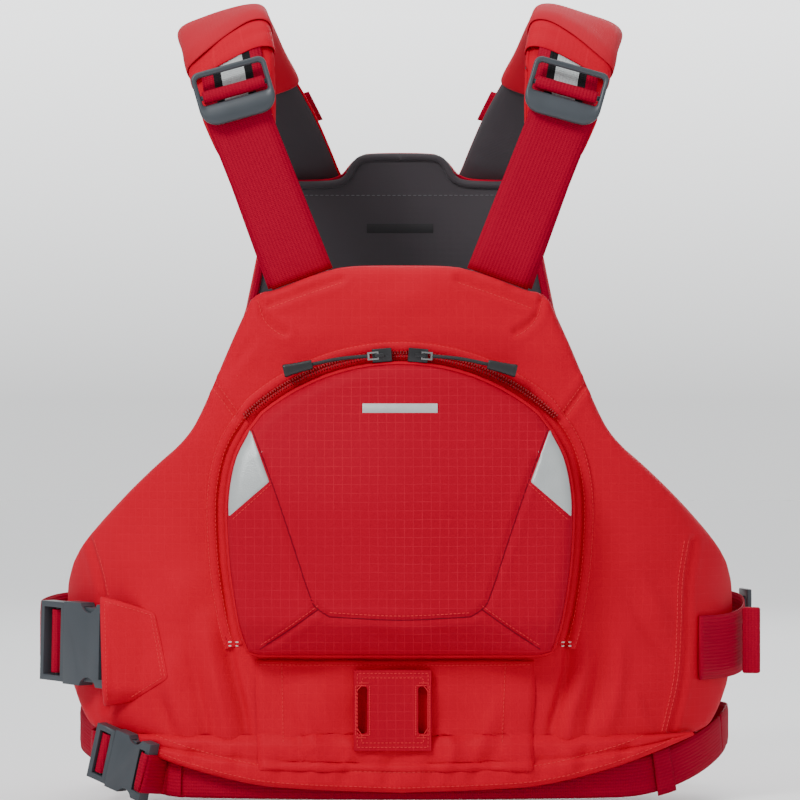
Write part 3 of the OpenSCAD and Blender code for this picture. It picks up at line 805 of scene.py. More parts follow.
def pull_grip(name, side):
    """A tapered moulded grip with finger ridges, on the cord's end."""
    end = np.array(CORD_ROUTE[-1])
    droop = turned("Y", math.radians(9))
    stations = [(0.0, 2.4, 2.0), (0.6, 2.9, 2.5), (5, 3.2, 2.7), (10, 3.5, 2.9), (14, 3.8, 3.1),
                (17.2, 4.1, 3.3), (18.2, 3.6, 2.8)]
    rows, uvs = [], []
    n = 24
    power = 0.55
    for x, half_h, half_t in curve(stations, 5):
        ridge = 0.3 * max(0.0, math.sin((x - 6.5) * 2 * math.pi / 2.2)) if 6.5 < x < 15.5 else 0.0
        row = []
        for k in range(n):
            a = 2 * math.pi * k / n
            c, s = math.cos(a), math.sin(a)
            z = math.copysign(abs(s) ** power, s) * (half_h - ridge)
            y = math.copysign(abs(c) ** power, c) * half_t
            row.append(slider_place(end + droop @ np.array([x + 0.1, y - 0.1, z]), side))
        rows.append(row)
        uvs.append([(k, x) for k in range(n + 1)])
    obj = grid_mesh(name, rows, uvs, closed=True)
    return close_ends(obj, n, len(rows))


def pulls():
    for side, word in ((-1, "left"), (1, "right")):
        cord, line = pull_cord(f"{word}_braided_pull", side)
        grip = pull_grip(f"{word}_moulded_grip", side)
        finished(grip, f"{word}_pull", "grip_plastic", [f"{word}_pull_grip"])
        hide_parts(f"{word}_pull_cord")
        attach(cord, f"{word}_pull")
        length = float(np.linalg.norm(np.diff(line, axis=0), axis=1).sum())
        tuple(line[0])


pulls()


# ---------------------------------------------------------------- panels
FRONT_HALF = [
    (0, -149), (20, -149), (36, -149.5), (60, -157), (80, -165), (88, -164.5), (95, -175), (114, -218),
    (130, -252), (152, -273), (172, -292), (192, -313), (205, -329), (212, -346), (214, -370), (213, -392),
    (208, -414), (198, -434), (188, -441), (150, -444), (70, -447), (0, -447)]
BACK_HALF = [
    (0, -67), (24, -68), (33, -74), (40, -84), (62, -86), (84, -88), (92, -120), (102, -170), (119, -224),
    (147, -276), (177, -314), (198, -335), (209, -362), (209, -420), (196, -448), (160, -464), (85, -467),
    (0, -467)]
POCKET_FOOT = -389.0
FLAP_R = ZIP_R - 6
POCKET_SIDE = curve([(94, -253), (101, -267), (105, -285), (106, -305), (104, -337), (99, -368),
                     (95, -382)], 3)
VOXEL = 0.004
# How far from the inner face a panel's cloth still counts as its liner
LINER_DEPTH = 3.2


def both_sides(line):
    """The line and its mirror image."""
    line = np.asarray(line, float)
    return [line * [side, 1] for side in (1, -1)]


def full_outline(half, n=4):
    line = curve(half, n)
    return evenly(np.vstack([line, (line * [-1, 1])[::-1][1:-1]]), 3.0, closed=True)


def panel_point(x, z, depth, back=False):
    """The point of a panel at (x, z) as seen from the front, by depth under its outer face."""
    reach = (CHEST_R - depth) * math.sin(TURN)
    if abs(x) <= reach:
        h = math.degrees(math.asin(x / (CHEST_R - depth)))
    else:
        k = min(0.9995, (abs(x) - SIDE_CX) / (SIDE_R - depth))
        h = math.copysign(math.degrees(math.asin(k)), x)
    if back:
        h = math.copysign(180, x) - h if x else 180.0
    return torso_point(h, depth, z)


def puffed(obj, pinned, cap, pressure=4.0, frames=20):
    """Blows the piece up like stuffed cloth between its pinned seams.

    cap is each point's most travel in mm.
    """
    rest = points_of(obj)
    seam = obj.vertex_groups.new(name="seam")
    seam.add([int(i) for i in np.nonzero(pinned)[0]], 1.0, "REPLACE")
    cloth = obj.modifiers.new("puff", "CLOTH")
    cloth.settings.quality = 4
    cloth.settings.mass = 0.25
    cloth.settings.use_pressure = True
    cloth.settings.uniform_pressure_force = pressure
    cloth.settings.effector_weights.gravity = 0
    cloth.settings.vertex_group_mass = "seam"
    cloth.point_cache.frame_end = frames
    for f in range(1, frames + 1):
        bpy.context.scene.frame_set(f)
    applied(obj)
    bpy.context.scene.frame_set(1)
    obj.vertex_groups.clear()
    co = points_of(obj)
    move = co - rest
    length = np.linalg.norm(move, axis=1)
    move_points(obj, rest + move * np.minimum(1, cap / np.maximum(length, 1e-6))[:, None])
    return obj


def pressed(obj, lines, depth, width, side=-1):
    """Presses seams into the front or the back of a piece: narrow grooves with a soft roll on each side."""
    co = points_of(obj)
    n = normals_of(obj)
    facing = n[:, 1] * side > 0.15
    flat = co[:, [0, 2]]
    total = np.zeros(len(co))
    for line in lines:
        dist, _ = nearness(flat, line)
        groove = -depth * np.exp(-(dist / width) ** 2)
        roll = 0.35 * depth * np.exp(-((dist - 2.6 * width) / (1.4 * width)) ** 2)
        total = np.where(np.abs(groove + roll) > np.abs(total), groove + roll, total)
    move_points(obj, co + n * (total * facing)[:, None])
    return obj


def fold_height(flat, folds):
    """Soft folds, each (line, height, width), that swell and die away along their lines, on gentle waves."""
    x, z = flat[:, 0], flat[:, 1]
    total = 0.45 * np.sin(x * 0.11 + 1.7 * np.sin(z * 0.045) + 0.6) * np.sin(z * 0.083 + x * 0.03)
    total += 0.3 * np.sin(x * 0.047 - z * 0.15 + 2.0 * np.sin(x * 0.05))
    for line, height, width in folds:
        dist, along = nearness(flat, curve(line, 6))
        total += height * np.exp(-(dist / width) ** 2) * np.sin(math.pi * np.clip(along, 0.04, 0.96)) ** 0.6
    return total


def wrinkled(obj, folds, room=None):
    """Raises a piece's front by its folds; room is a function that says how much of them each place takes."""
    co = points_of(obj)
    n = normals_of(obj)
    flat = co[:, [0, 2]]
    share = np.clip(-n[:, 1] * 2, 0, 1) * (1 if room is None else room(flat))
    move_points(obj, co + n * (fold_height(flat, folds) * share)[:, None])
    return obj


def split_liner(obj, name, thickness):
    """Takes the inner face off a panel's solid as a piece of its own."""
    depth = unroll(points_of(obj))[1]
    whole = obj.data.copy()
    liner_mesh = bpy.data.meshes.new(name)
    for mesh, keeps_inner in ((obj.data, False), (liner_mesh, True)):
        bm = bmesh.new()
        bm.from_mesh(whole)
        gone = []
        for f in bm.faces:
            inner = sum(depth[v.index] for v in f.verts) / len(f.verts) > thickness - LINER_DEPTH
            if inner != keeps_inner:
                gone.append(f)
        bmesh.ops.delete(bm, geom=gone, context="FACES")
        bm.to_mesh(mesh)
        bm.free()
    bpy.data.meshes.remove(whole)
    return placed(name, liner_mesh)


def foam_inside(obj, name, node_name, shrink=3.0):
    """The foam block as it fills the panel: the panel's solid, drawn in a little."""
    foam = obj.copy()
    foam.data = obj.data.copy()
    foam.name = name
    bpy.context.collection.objects.link(foam)
    move_points(foam, points_of(foam) - normals_of(foam) * shrink)
    map_cloth(foam)
    return finished(foam, "vest", "foam", [node_name])


NECK_BINDING_Z = -92.0


def bound_edge(name, outline, depth, body, back=False, radius=2.6):
    """Binding tape sewn over a panel's inner edge."""
    inner = []
    count = len(outline)
    for i in range(count):
        t = unit(outline[(i + 1) % count] - outline[i - 1])
        inner.append(outline[i] + np.array([t[1], -t[0]]) * 3.5)
    line = [panel_point(p[0], p[1], depth, back) for p in inner]
    line.append(line[0])
    if not back:
        return finished(tube(name, line, radius, 8, caps=False), body, "webbing")
    neck = [p for p in line if p[2] > NECK_BINDING_Z]
    neck.sort(key=lambda p: p[0])
    start = next(i for i, p in enumerate(line) if p[2] <= NECK_BINDING_Z)
    line = line[start:] + line[1:start]
    rest = [p for p in line if p[2] <= NECK_BINDING_Z]
    finished(tube(f"{name}_neck", neck, radius, 8), body, "liner_fabric")
    return finished(tube(name, rest, radius, 8), body, "webbing")


FRONT_OUTLINE = full_outline(FRONT_HALF)
BACK_OUTLINE = full_outline(BACK_HALF)
WING_FOLD = curve([(88, -168), (84, -180), (77, -187), (71, -190)], 5)
ARM_SEAM = curve([(117, -220), (108, -232), (100, -243)], 5)
LEFT_SEAM = curve([(-196, -320), (-190, -338), (-186, -355)], 5)
FLAP_EDGE = curve([(-187, -356), (-182, -385), (-181, -410), (-184, -426)], 5)
RIGHT_SEAM = curve([(184, -320), (180, -345), (179, -372), (177, -405), (169, -439)], 5)
NECK_SEAM = curve([(36, -157), (60, -165), (82, -173)], 5)


def front_room(flat):
    """How far, from 0 to 1, the front may swell at each (x, z): not under the pocket, zip, tab or buckles."""
    x, z = flat[:, 0], flat[:, 1]
    pocket = np.hypot(x * 0.95, np.maximum(0, z + 342)) - 152
    pocket = np.where(z < -342, np.abs(x) - 122, pocket)
    room = ease(pocket, 0, 26)
    room *= 1 - ease(-z, 378, 400) * (1 - ease(np.abs(x), 92, 112))
    room *= 1 - (1 - ease(np.abs(z + 388), 22, 42)) * ease(np.abs(x), 146, 165)
    room *= ease(np.hypot(x + 170, (z + 455) * 1.2), 22, 50)
    return room * ease(z + 447, 0, 22)


def fold_room(flat):
    """How much of the folds each place takes: none beside the zip's arch, where the sliders run."""
    return np.maximum(front_room(flat), ease(-flat[:, 1], 300, 350))


FRONT_FOLDS = [
    ([(-120, -368), (-115, -400), (-107, -436), (-104, -462)], 4.0, 5.2),
    ([(-110, -368), (-104, -398), (-97, -428), (-94, -452)], -4.6, 3.2),
    ([(-132, -372), (-128, -402), (-121, -436), (-120, -460)], -3.0, 3.8),
    ([(-143, -386), (-141, -410), (-132, -440)], 3.2, 5.6),
    ([(-152, -412), (-146, -428), (-142, -442)], -2.0, 3.6),
    ([(-150, -334), (-138, -352), (-130, -372)], 1.6, 7.0),
    ([(113, -368), (113, -398), (104, -434), (102, -460)], 3.8, 4.8),
    ([(105, -370), (103, -400), (95, -430), (92, -450)], -4.2, 3.0),
    ([(125, -372), (123, -404), (116, -438), (114, -458)], -2.8, 3.6),
    ([(136, -380), (135, -408), (127, -440)], 3.0, 5.4),
    ([(146, -336), (160, -362), (172, -380)], 2.0, 6.0),
    ([(140, -352), (154, -376), (168, -392)], -1.4, 4.0),
    ([(144, -410), (150, -428), (160, -442)], 1.8, 5.0),
    ([(-86, -198), (-96, -214), (-104, -226)], 2.4, 4.6),
    ([(-90, -194), (-101, -209), (-110, -220)], -1.6, 3.0),
    ([(-74, -196), (-82, -208), (-92, -218)], 1.6, 4.0),
    ([(84, -200), (96, -214), (106, -228)], 2.2, 4.6),
    ([(90, -196), (102, -210), (111, -222)], -1.5, 3.0),
    ([(-128, -268), (-140, -290), (-146, -318)], 1.8, 9.0),
    ([(126, -268), (140, -292), (148, -322)], 1.8, 9.0),
    ([(-40, -168), (0, -172), (42, -169)], 1.4, 9.0),
    ([(-60, -184), (-20, -190), (30, -187), (62, -182)], -0.9, 5.0),
]


def front_panel():
    solid = copy_of("front_shell_cloth", "front_shell", "front_foam_core", "front_liner")
    modified(solid, "REMESH", mode="VOXEL", voxel_size=VOXEL)
    modified(solid, "SMOOTH", factor=0.5, iterations=8)
    co = points_of(solid)
    _, depth, _ = unroll(co)
    flat = co[:, [0, 2]]
    outer = depth < FRONT_T - 8
    seams = both_sides(WING_FOLD) + both_sides(ARM_SEAM) + [LEFT_SEAM, FLAP_EDGE, RIGHT_SEAM]
    near = np.min([nearness(flat, s)[0] for s in seams], axis=0)
    room = front_room(flat)
    cap = np.where(outer, 7.0 * room, 1.0)
    puffed(solid, (depth > FRONT_T - 4) | (near < 2.6) | (room < 0.02), cap)
    modified(solid, "SUBSURF", levels=1)
    wrinkled(solid, FRONT_FOLDS, fold_room)
    pressed(solid, seams + both_sides(NECK_SEAM), 1.6, 1.9)
    foam_inside(solid, "front_foam_block", "front_foam_core")
    liner = split_liner(solid, "front_liner_cloth", FRONT_T)
    map_cloth(solid)
    map_cloth(liner)
    finished(solid, "vest", "shell_fabric", ["front_shell"])
    finished(liner, "vest", "liner_fabric", ["front_liner"])
    bound_edge("front_inner_binding", FRONT_OUTLINE, FRONT_T, "vest")
    return solid


def back_panel():
    solid = copy_of("back_shell_cloth", "back_shell", "back_foam_core", "back_liner")
    modified(solid, "REMESH", mode="VOXEL", voxel_size=VOXEL)
    modified(solid, "SMOOTH", factor=0.5, iterations=6)
    co = points_of(solid)
    _, depth, _ = unroll(co)
    flat = co[:, [0, 2]]
    channels = [curve([(-150, z), (0, z - 6), (150, z)], 12) for z in (-235, -330)]
    channels.append(curve([(0, -100), (0, -235)], 12))
    near = np.min([nearness(flat, s)[0] for s in channels], axis=0)
    strap = ease(np.abs(co[:, 2] + 378), 24, 44) + (1 - ease(np.abs(co[:, 0]), 120, 150))
    belt = ease(np.abs(co[:, 2] + 441), 15, 30)
    cap = np.where(depth < BACK_T - 7, 6.0 * np.clip(strap, 0, 1) * belt, 2.5 * ease(-co[:, 2], 90, 120))
    puffed(solid, (near < 3) | (np.abs(depth - BACK_T + 3) < 2), cap)
    modified(solid, "SUBSURF", levels=1)
    pressed(solid, channels, 2.0, 2.4, side=1)
    foam_inside(solid, "back_foam_block", "back_foam_core")
    liner = split_liner(solid, "back_liner_cloth", BACK_T)
    map_cloth(solid)
    map_cloth(liner)
    finished(solid, "vest", "shell_fabric", ["back_shell"])
    finished(liner, "vest", "liner_fabric", ["back_liner"])
    bound_edge("back_inner_binding", BACK_OUTLINE, BACK_T, "vest", back=True)
    return liner


FRONT_SOLID = front_panel()
BACK_INNER = back_panel()
FRONT_SKIN = Skin(FRONT_SOLID)
BACK_SKIN = Skin(BACK_INNER)


def seam_details():
    """Stitching on the front, and the back liner's tapes, stitching and plain mark."""
    rows = []
    for seam in both_sides(ARM_SEAM):
        rows += [seam + [0, 3.2], seam - [0, 3.2]]
    for seam in both_sides(WING_FOLD) + both_sides(NECK_SEAM):
        rows.append(seam - [0, 2.6])
    rows += [LEFT_SEAM + [3.4, 0], RIGHT_SEAM - [3.4, 0], RIGHT_SEAM - [6.0, 0]]
    stitching("front_stitching", FRONT_SKIN.front, rows, "vest")
    for word, line in zip(("right", "left"), both_sides([(32, -79), (52, -77.5), (71, -74.5)])):
        tape = strip(f"{word}_back_seam_tape", BACK_SKIN.inside, curve(line, 4), 5.0, 0.5, 0.9)
        finished(tape, "vest", "webbing")
    rows = [curve([(-84, z), (0, z), (84, z)], 4) for z in (-96, -146)]
    stitching("liner_stitching", BACK_SKIN.inside, rows, "vest", "grey_thread", pitch=3.4, length=2.4,
              radius=0.25)
    mark = strip("plain_liner_mark", BACK_SKIN.inside, [(-22, -118), (22, -118)], 9.0, 0.3, 0.1)
    finished(mark, "vest", "dark_mark")


seam_details()


# ---------------------------------------------------------------- hem and lower front
HEM_FOLDS = [fold for fold in FRONT_FOLDS if fold[0][-1][1] < -455]
HEM_TOP = -441.0
HEM = [(0, -474), (60, -472), (92, -469), (130, -460), (160, -450), (184, -441)]


def hem_skirt():
    """The gathered hem band below the panel, with a rolled lower edge."""
    line = curve(HEM, 8)
    foot = np.vstack([(line * [-1, 1])[::-1][:-1], line])
    foot = evenly(foot, 2.2)
    n = 16
    rows, uvs = [], []
    for i in range(n + 1):
        k = i / n
        row, uv = [], []
        level = lerp(HEM_TOP + 3 * (1 - np.abs(foot[:, 0]) / HEM[-1][0]), foot[:, 1], k)
        folds = 0.8 * fold_height(np.stack([foot[:, 0], level], 1), HEM_FOLDS) * ease(k, 0.12, 0.4)
        for x, z, fold in zip(foot[:, 0], level, folds):
            gather = math.sin(x * 0.21 + 1.3 * math.sin(x * 0.05)) + 0.6 * math.sin(x * 0.47 + 2.0)
            lift = lerp(-2.0, 2.4, ease(k, 0.0, 0.2))
            lift += 0.9 * gather * ease(k, 0.2, 0.5) * (1 - ease(k, 0.8, 1))
            lift += 2.8 * ease(k, 0.54, 0.64) - 1.0 * math.exp(-((k - 0.5) / 0.06) ** 2)
            lift += fold - 3.6 * ease(k, 0.92, 1.0)
            p = panel_point(x, z, 0.0)
            row.append(p + unit(p - panel_point(x, z, 1.0)) * lift)
            uv.append((x, z))
        rows.append(row)
        uvs.append(uv)
    obj = grid_mesh("front_hem_cloth", rows, uvs)
    modified(obj, "SOLIDIFY", thickness=0.0009, offset=-1)
    modified(obj, "SUBSURF", levels=1)
    finished(obj, "vest", "shell_fabric", ["front_hem_skirt"])
    width = float(np.linalg.norm(np.diff(np.array(rows[n // 2]), axis=0), axis=1).sum()) * MM
    skin = Skin(obj)
    rows = [foot[6:-6] + [0, up] for up in (12.5, 3.0)]
    stitching("hem_stitching", skin.front, rows, "vest", pitch=3.0, length=2.2)
    return obj


def closed_middle(obj, middle, count):
    """Closes the first ring of a mesh made of rings with a fan to its middle, and faces it all outwards."""
    with edited(obj) as bm:
        layer = bm.loops.layers.uv.active
        ring = list(bm.verts)[:count]
        hub = bm.verts.new([c * MM for c in middle])
        for j in range(count):
            face = bm.faces.new((ring[(j + 1) % count], ring[j], hub))
            face.smooth = True
            for loop in face.loops:
                loop[layer].uv = (loop.vert.co.x, loop.vert.co.z)
        bmesh.ops.recalc_face_normals(bm, faces=bm.faces)
        if sum(f.normal.y for f in bm.faces) > 0:
            bmesh.ops.reverse_faces(bm, faces=bm.faces)
    return obj


def patch(name, skin_point, polygon, lift, thick=1.0, step=2.4, centre=None, edge=3.0):
    """A layer of cloth of any star-shaped outline, laid on a surface with a soft rolled edge."""
    rim = evenly(np.asarray(polygon, float), step, closed=True)
    middle = np.mean(rim, axis=0) if centre is None else np.asarray(centre, float)
    reach = np.linalg.norm(rim - middle, axis=1)
    count = max(4, int(reach.max() / (step * 1.3)))
    rings = [k / count for k in range(1, count)] + [1 - 0.8 / reach.mean(), 1.0]
    rows, uvs = [], []
    for k in rings:
        row, uv = [], []
        for p in rim:
            q = middle + (p - middle) * k
            fall = ease((1 - k) * reach.mean(), 0, edge)
            row.append(skin_point(*q, lift - thick * (1 - fall))[0])
            uv.append(tuple(q))
        rows.append(row)
        uvs.append(uv + [uv[0]])
    obj = grid_mesh(name, rows, uvs, closed=True)
    return closed_middle(obj, skin_point(*middle, lift)[0], len(rim))


LOWER_FOLDS = [
    ([(-64, -416), (-55, -438), (-46, -460)], 2.6, 4.2),
    ([(-70, -424), (-62, -442), (-56, -460)], -1.6, 3.0),
    ([(-34, -438), (-31, -450), (-38, -461)], 1.8, 3.0),
    ([(28, -436), (33, -448), (27, -461)], 2.0, 3.4),
    ([(60, -420), (51, -442), (44, -461)], 2.4, 4.0),
    ([(68, -430), (60, -446), (54, -460)], -1.4, 3.0),
]


def lower_front(hem):
    """The stitched panel under the pocket, which runs down over the hem's seam."""
    panel = [(-90, -392), (84, -392), (82, -461), (-88, -461)]
    under = Skin(FRONT_SOLID, hem)

    def bulged(x, z, lift=0.0):
        p, n = under.front(x, z)
        swell = 1.5 * (1 + math.sin(x * 0.11 + 0.8)) * math.sin(math.pi * np.clip((z + 460) / 68, 0, 1)) ** 2
        away = ease(abs(x - TAB_CX), 26, 44)
        return p + n * (swell * away + lift), n

    obj = patch("lower_front_cloth", bulged, panel, 2.6, 2.4, 2.2, edge=2.2)
    modified(obj, "SMOOTH", factor=0.5, iterations=3)
    wrinkled(obj, LOWER_FOLDS)
    finished(obj, "vest", "shell_fabric", ["lower_front_panel"])
    skin = Skin(obj)
    rows = [[(-73, -394), (-72, -444)], [(65, -394), (63, -444)], [(-87, -395.5), (81, -395.5)]]
    stitching("lower_front_stitching", skin.front, rows, "vest")


TAB_W, TAB_H, TAB_CX, TAB_CZ = 48.0, 50.0, -4.5, -423.0
SLOT_W, SLOT_H, SLOT_X = 5.4, 28.5, 18.5


def lash_tab():
    """The square tab with two slots: softened cloth with a bound edge, slot stitching and bartacks."""
    obj = copy_of("lash_tab_cloth", "lash_tab")
    modified(obj, "REMESH", mode="VOXEL", voxel_size=0.0008)
    modified(obj, "SMOOTH", factor=0.5, iterations=1)
    map_cloth(obj, flat=True)
    finished(obj, "vest", "pocket_fabric", ["lash_tab"])
    skin = Skin(obj)
    made = []
    for inset in (2.2, 5.0):
        w, h = TAB_W / 2 - inset, TAB_H / 2 - inset
        ring = [(-w, -h), (w, -h), (w, h), (-w, h), (-w, -h)]
        made.append(stitches("ring", skin.front, [(TAB_CX + x, TAB_CZ + z) for x, z in ring], 2.4, 1.7))
    for side in (-1, 1):
        for edge in (-1, 1):
            x = TAB_CX + side * SLOT_X + edge * (SLOT_W / 2 + 1.6)
            line = [(x, TAB_CZ - SLOT_H / 2 - 1), (x, TAB_CZ + SLOT_H / 2 + 1)]
            made.append(stitches("slot", skin.front, line, 1.5, 1.3, 0.35))
        for end in (-1, 1):
            z = TAB_CZ + end * (SLOT_H / 2 + 1.8)
            x = TAB_CX + side * SLOT_X
            for dx in (-0.8, 0.8):
                tack = [(x - 3 + dx, z + dx), (x + 3 + dx, z + dx)]
                made.append(stitches("tack", skin.front, tack, 0.9, 0.85, 0.4))
    finished(joined("lash_tab_stitching", made), "vest", "thread", smooth=False)


# The (x, y) of the side socket's right end, how fast its face falls away to the left, and its middle height
SOCKET_EDGE = np.array([-182.7, -102.6])
SOCKET_SLOPE = 1.11
SOCKET_Z = -386.0
FLAP = [(-187.5, -354), (-176, -356.5), (-152, -364), (-143.5, -405), (-168, -421), (-185.5, -424)]


def flap_point(x, z, lift=0.0):
    """A point of the patch on the left: it lies on the shell and drapes over the end of the side buckle."""
    p, n = FRONT_SKIN.front(x, z)
    cover = SOCKET_EDGE[1] - 1.4 + SOCKET_SLOPE * max(0.0, SOCKET_EDGE[0] - x)
    cover += 0.8 * max(0.0, abs(z - SOCKET_Z) - 27)
    return np.array([p[0], min(p[1], cover), p[2]]) + n * lift, n


def buckle_patch():
    obj = patch("side_patch_cloth", flap_point, FLAP, 0.9, 0.9, 2.0, edge=1.4)
    modified(obj, "SMOOTH", factor=0.5, iterations=4)
    modified(obj, "SOLIDIFY", thickness=0.0009, offset=-1)
    finished(obj, "vest", "shell_fabric", ["side_buckle_patch"])
    skin = Skin(FRONT_SOLID, obj)
    rows = [[(-184, -357.5), (-154, -366)], [(-155, -366), (-148, -404)], [(-153, -366), (-146, -404)],
            [(-148, -404.5), (-168, -417.5)], [(-184, -359), (-182.5, -420)]]
    stitching("side_patch_stitching", skin.front, rows, "vest")


lower_front(hem_skirt())
lash_tab()
buckle_patch()


# ---------------------------------------------------------------- pocket
FLAP_ARCH = [(FLAP_R * math.sin(a), ZIP_CZ + FLAP_R * math.cos(a)) for a in np.radians(range(0, 41, 4))]


def pocket_outline():
    foot = [(93, POCKET_FOOT + 2), (86, POCKET_FOOT), (0, POCKET_FOOT)]
    half = np.vstack([FLAP_ARCH, POCKET_SIDE, foot])
    return evenly(np.vstack([half, (half * [-1, 1])[::-1][1:-1]]), 1.6, closed=True)


POCKET_RIM = pocket_outline()
POCKET_HUB = np.array([0.0, -305.0])
CENTRE_SEAM = curve([(92, -247), (79, -281), (67, -316), (55, -352), (50, -360), (43, -364.5)], 6)
FOOT_SEAM = curve([(-43, -364.5), (0, -366.5), (43, -364.5)], 8)
CORNER_SEAM = curve([(50, -360), (68, -373), (86, -385)], 5)


def pocket_height(x, z):
    """How far the pocket's cloth stands out from the panel, in mm, well inside its rim."""
    full = lerp(15.0, 31.0, ease(-z, 205, 300))
    x = abs(x)
    full -= 16.0 * ease(-z, 364.5, 390) * (1 - 0.35 * ease(x, 30, 90))
    full -= 7.0 * ease(x + 0.36 * (z + 247), 92, 124)
    return full


def pocket_point(x, z, lift=0.0):
    """A point on the pocket's cloth, and its outward direction."""
    h = pocket_height(x, z)
    swell = 3.2 * math.exp(-((x / 52) ** 2 + ((z + 290) / 60) ** 2))
    fold = math.exp(-(((abs(x) - 20) / 40) ** 2 + ((z + 350) / 16) ** 2))
    fold *= 0.7 * math.sin(z * 0.16 + x * 0.05)
    fold += 1.3 * math.sin(x * 0.14 + z * 0.1) * math.exp(-((x / 50) ** 2 + ((z + 377) / 7) ** 2))
    p = panel_point(x, z, -(h + swell + fold))
    out = unit(p - panel_point(x, z, 0.0))
    return p + out * lift, out


def pocket():
    reach = np.linalg.norm(POCKET_RIM - POCKET_HUB, axis=1)
    count = 58
    edge = 9.0
    rows, uvs = [], []
    for i in range(1, count + 1):
        k = i / count
        row, uv = [], []
        for p, r in zip(POCKET_RIM, reach):
            q = POCKET_HUB + (p - POCKET_HUB) * (1 - (1 - k) ** 1.25)
            away = np.linalg.norm(p - q)
            drop = edge * (1 - math.sqrt(max(0.0, 1 - (1 - min(1, away / edge)) ** 2)))
            c, out = pocket_point(*q)
            row.append(c - out * drop * 0.75)
            uv.append(tuple(q))
        rows.append(row)
        uvs.append(uv + [uv[0]])
    face = grid_mesh("pocket_face_cloth", rows, uvs, closed=True)
    closed_middle(face, pocket_point(*POCKET_HUB)[0], len(POCKET_RIM))
    seams = both_sides(CENTRE_SEAM[4:]) + [FOOT_SEAM] + both_sides(CORNER_SEAM[:-2])
    pressed(face, seams, 1.2, 1.7)
    skin = Skin(face)
    modified(face, "SOLIDIFY", thickness=0.0012, offset=-1)
    finished(face, "pocket_flap", "pocket_fabric", ["pocket_face"])
    pocket_wall(rows[-1])
    pocket_trim(skin)


def pocket_wall(rim):
    """The pocket's soft side wall, from the face's edge to the panel."""
    rows, uvs = [], []
    steps = 9
    rim = np.array(rim)
    base = np.array([panel_point(*p, -1.2) for p in POCKET_RIM])
    out_of_rim = np.array([[p[0], 0, p[1]] for p in (POCKET_RIM - POCKET_HUB)])
    out_of_rim /= np.linalg.norm(out_of_rim, axis=1)[:, None]
    along = np.concatenate([[0], np.cumsum(np.linalg.norm(np.diff(rim, axis=0), axis=1))])
    for i in range(steps + 1):
        k = i / steps
        belly = 1.5 * math.sin(math.pi * k)
        rows.append(lerp(rim, base, k) + out_of_rim * belly)
        uvs.append([(a, i * 3.0) for a in along] + [(along[-1] + 1.6, i * 3.0)])
    wall = grid_mesh("pocket_gusset_cloth", rows, uvs, closed=True)
    modified(wall, "SOLIDIFY", thickness=0.001, offset=0)
    finished(wall, "pocket_flap", "shell_fabric", ["pocket_gusset"])


def pocket_trim(skin):
    """The reflective corners, the plain mark, the dark strips of painted seam shade and the pocket's
    stitching.
    """
    side = [tuple(p) for p in POCKET_SIDE if p[1] < -250 and p[1] > -303]
    for sign, word in ((1, "right"), (-1, "left")):
        outline = [(92.2, -249.5)] + [(x - 0.8, z) for x, z in side] + [(105, -303.5), (80, -282)]
        outline = [(sign * x, z) for x, z in outline]
        middle = (sign * 93, -277)
        piece = patch(f"{word}_reflective_corner", skin.front, outline, 0.55, 0.5, 1.6, middle, 1.2)
        finished(piece, "pocket_flap", "reflective_fabric", [f"{word}_reflector"])
    mark = strip("plain_pocket_mark", skin.front, [(-23, -237), (23, -237)], 8.0, 0.35, 0.12)
    finished(mark, "pocket_flap", "reflective_fabric")
    # Narrow dark strips laid along the pocket's seams: painted shade for the shadow in the seam grooves
    lines = both_sides(CENTRE_SEAM[1:]) + [FOOT_SEAM] + both_sides(CORNER_SEAM)
    made = [strip("seam", skin.front, line, 1.1, 0.05, 0.12) for line in lines]
    finished(joined("pocket_painted_seam_lines", made), "pocket_flap", "seam_shade")
    rows = [seam + [0, 2.4] for seam in both_sides(CORNER_SEAM)]
    rows += both_sides([(79, -283.5), (103, -305.5)])
    rows.append(FOOT_SEAM + [0, 2.6])
    stitching("pocket_stitching", skin.front, rows, "pocket_flap")


def offset_line(line, away):
    line = np.asarray(line, float)
    out = []
    for i in range(len(line)):
        t = tangent(line, i)
        out.append(line[i] + np.array([-t[1], t[0]]) * away)
    return np.array(out)


def zipper():
    """The welt round the arch, the zip's tape line down each side, the coil's teeth and the bartacks."""
    half = np.vstack([FLAP_ARCH, POCKET_SIDE[1:]])
    line = evenly(np.vstack([(half * [-1, 1])[::-1][:-1], half]), 2.5)
    welt = strip("zip_welt", FRONT_SKIN.front, offset_line(line, 10.5), 8.0, 1.0, 1.3, 7)
    tape = strip("zip_tape", FRONT_SKIN.front, offset_line(line, 4.0), 6.5, 0.5, 0.4)
    both = joined("zipper_tape_cloth", [welt, tape])
    finished(both, "vest", "shell_fabric", ["zipper_tape"])
    skin = Skin(both, FRONT_SOLID)
    rows = [offset_line(line, 8.2), offset_line(line, 13.4)]
    stitching("zipper_stitching", skin.front, rows, "vest", length=1.8, radius=0.28)
    tacks = []
    for sign in (1, -1):
        for dx in (-2.2, 2.2):
            for dz in (-1.2, 1.2):
                x, z = sign * (103 + dx), -383 + dz
                tacks.append([(x - 1.1, z), (x + 1.1, z)])
    stitching("zip_bartacks", skin.front, tacks, "vest", "pale_thread", pitch=2.0, length=1.9, radius=0.55,
              lift=0.2)
    teeth = []
    for i in range(-60, 61):
        a = i * 44 / 60
        for side in (-1, 1):
            p = zip_point(a + side * 0.18, 0.2, side * 0.1)
            q = zip_point(a + side * 0.18, 0.2, side * 2.0)
            teeth.append(tube("tooth", [p, lerp(p, q, 0.5) + [0, -0.6, 0], q], [0.5, 0.6, 0.4], 6))
    coil = joined("zipper_coil_teeth", teeth)
    finished(coil, "vest", "zip_coil", ["zipper_coil"])


pocket()
zipper()


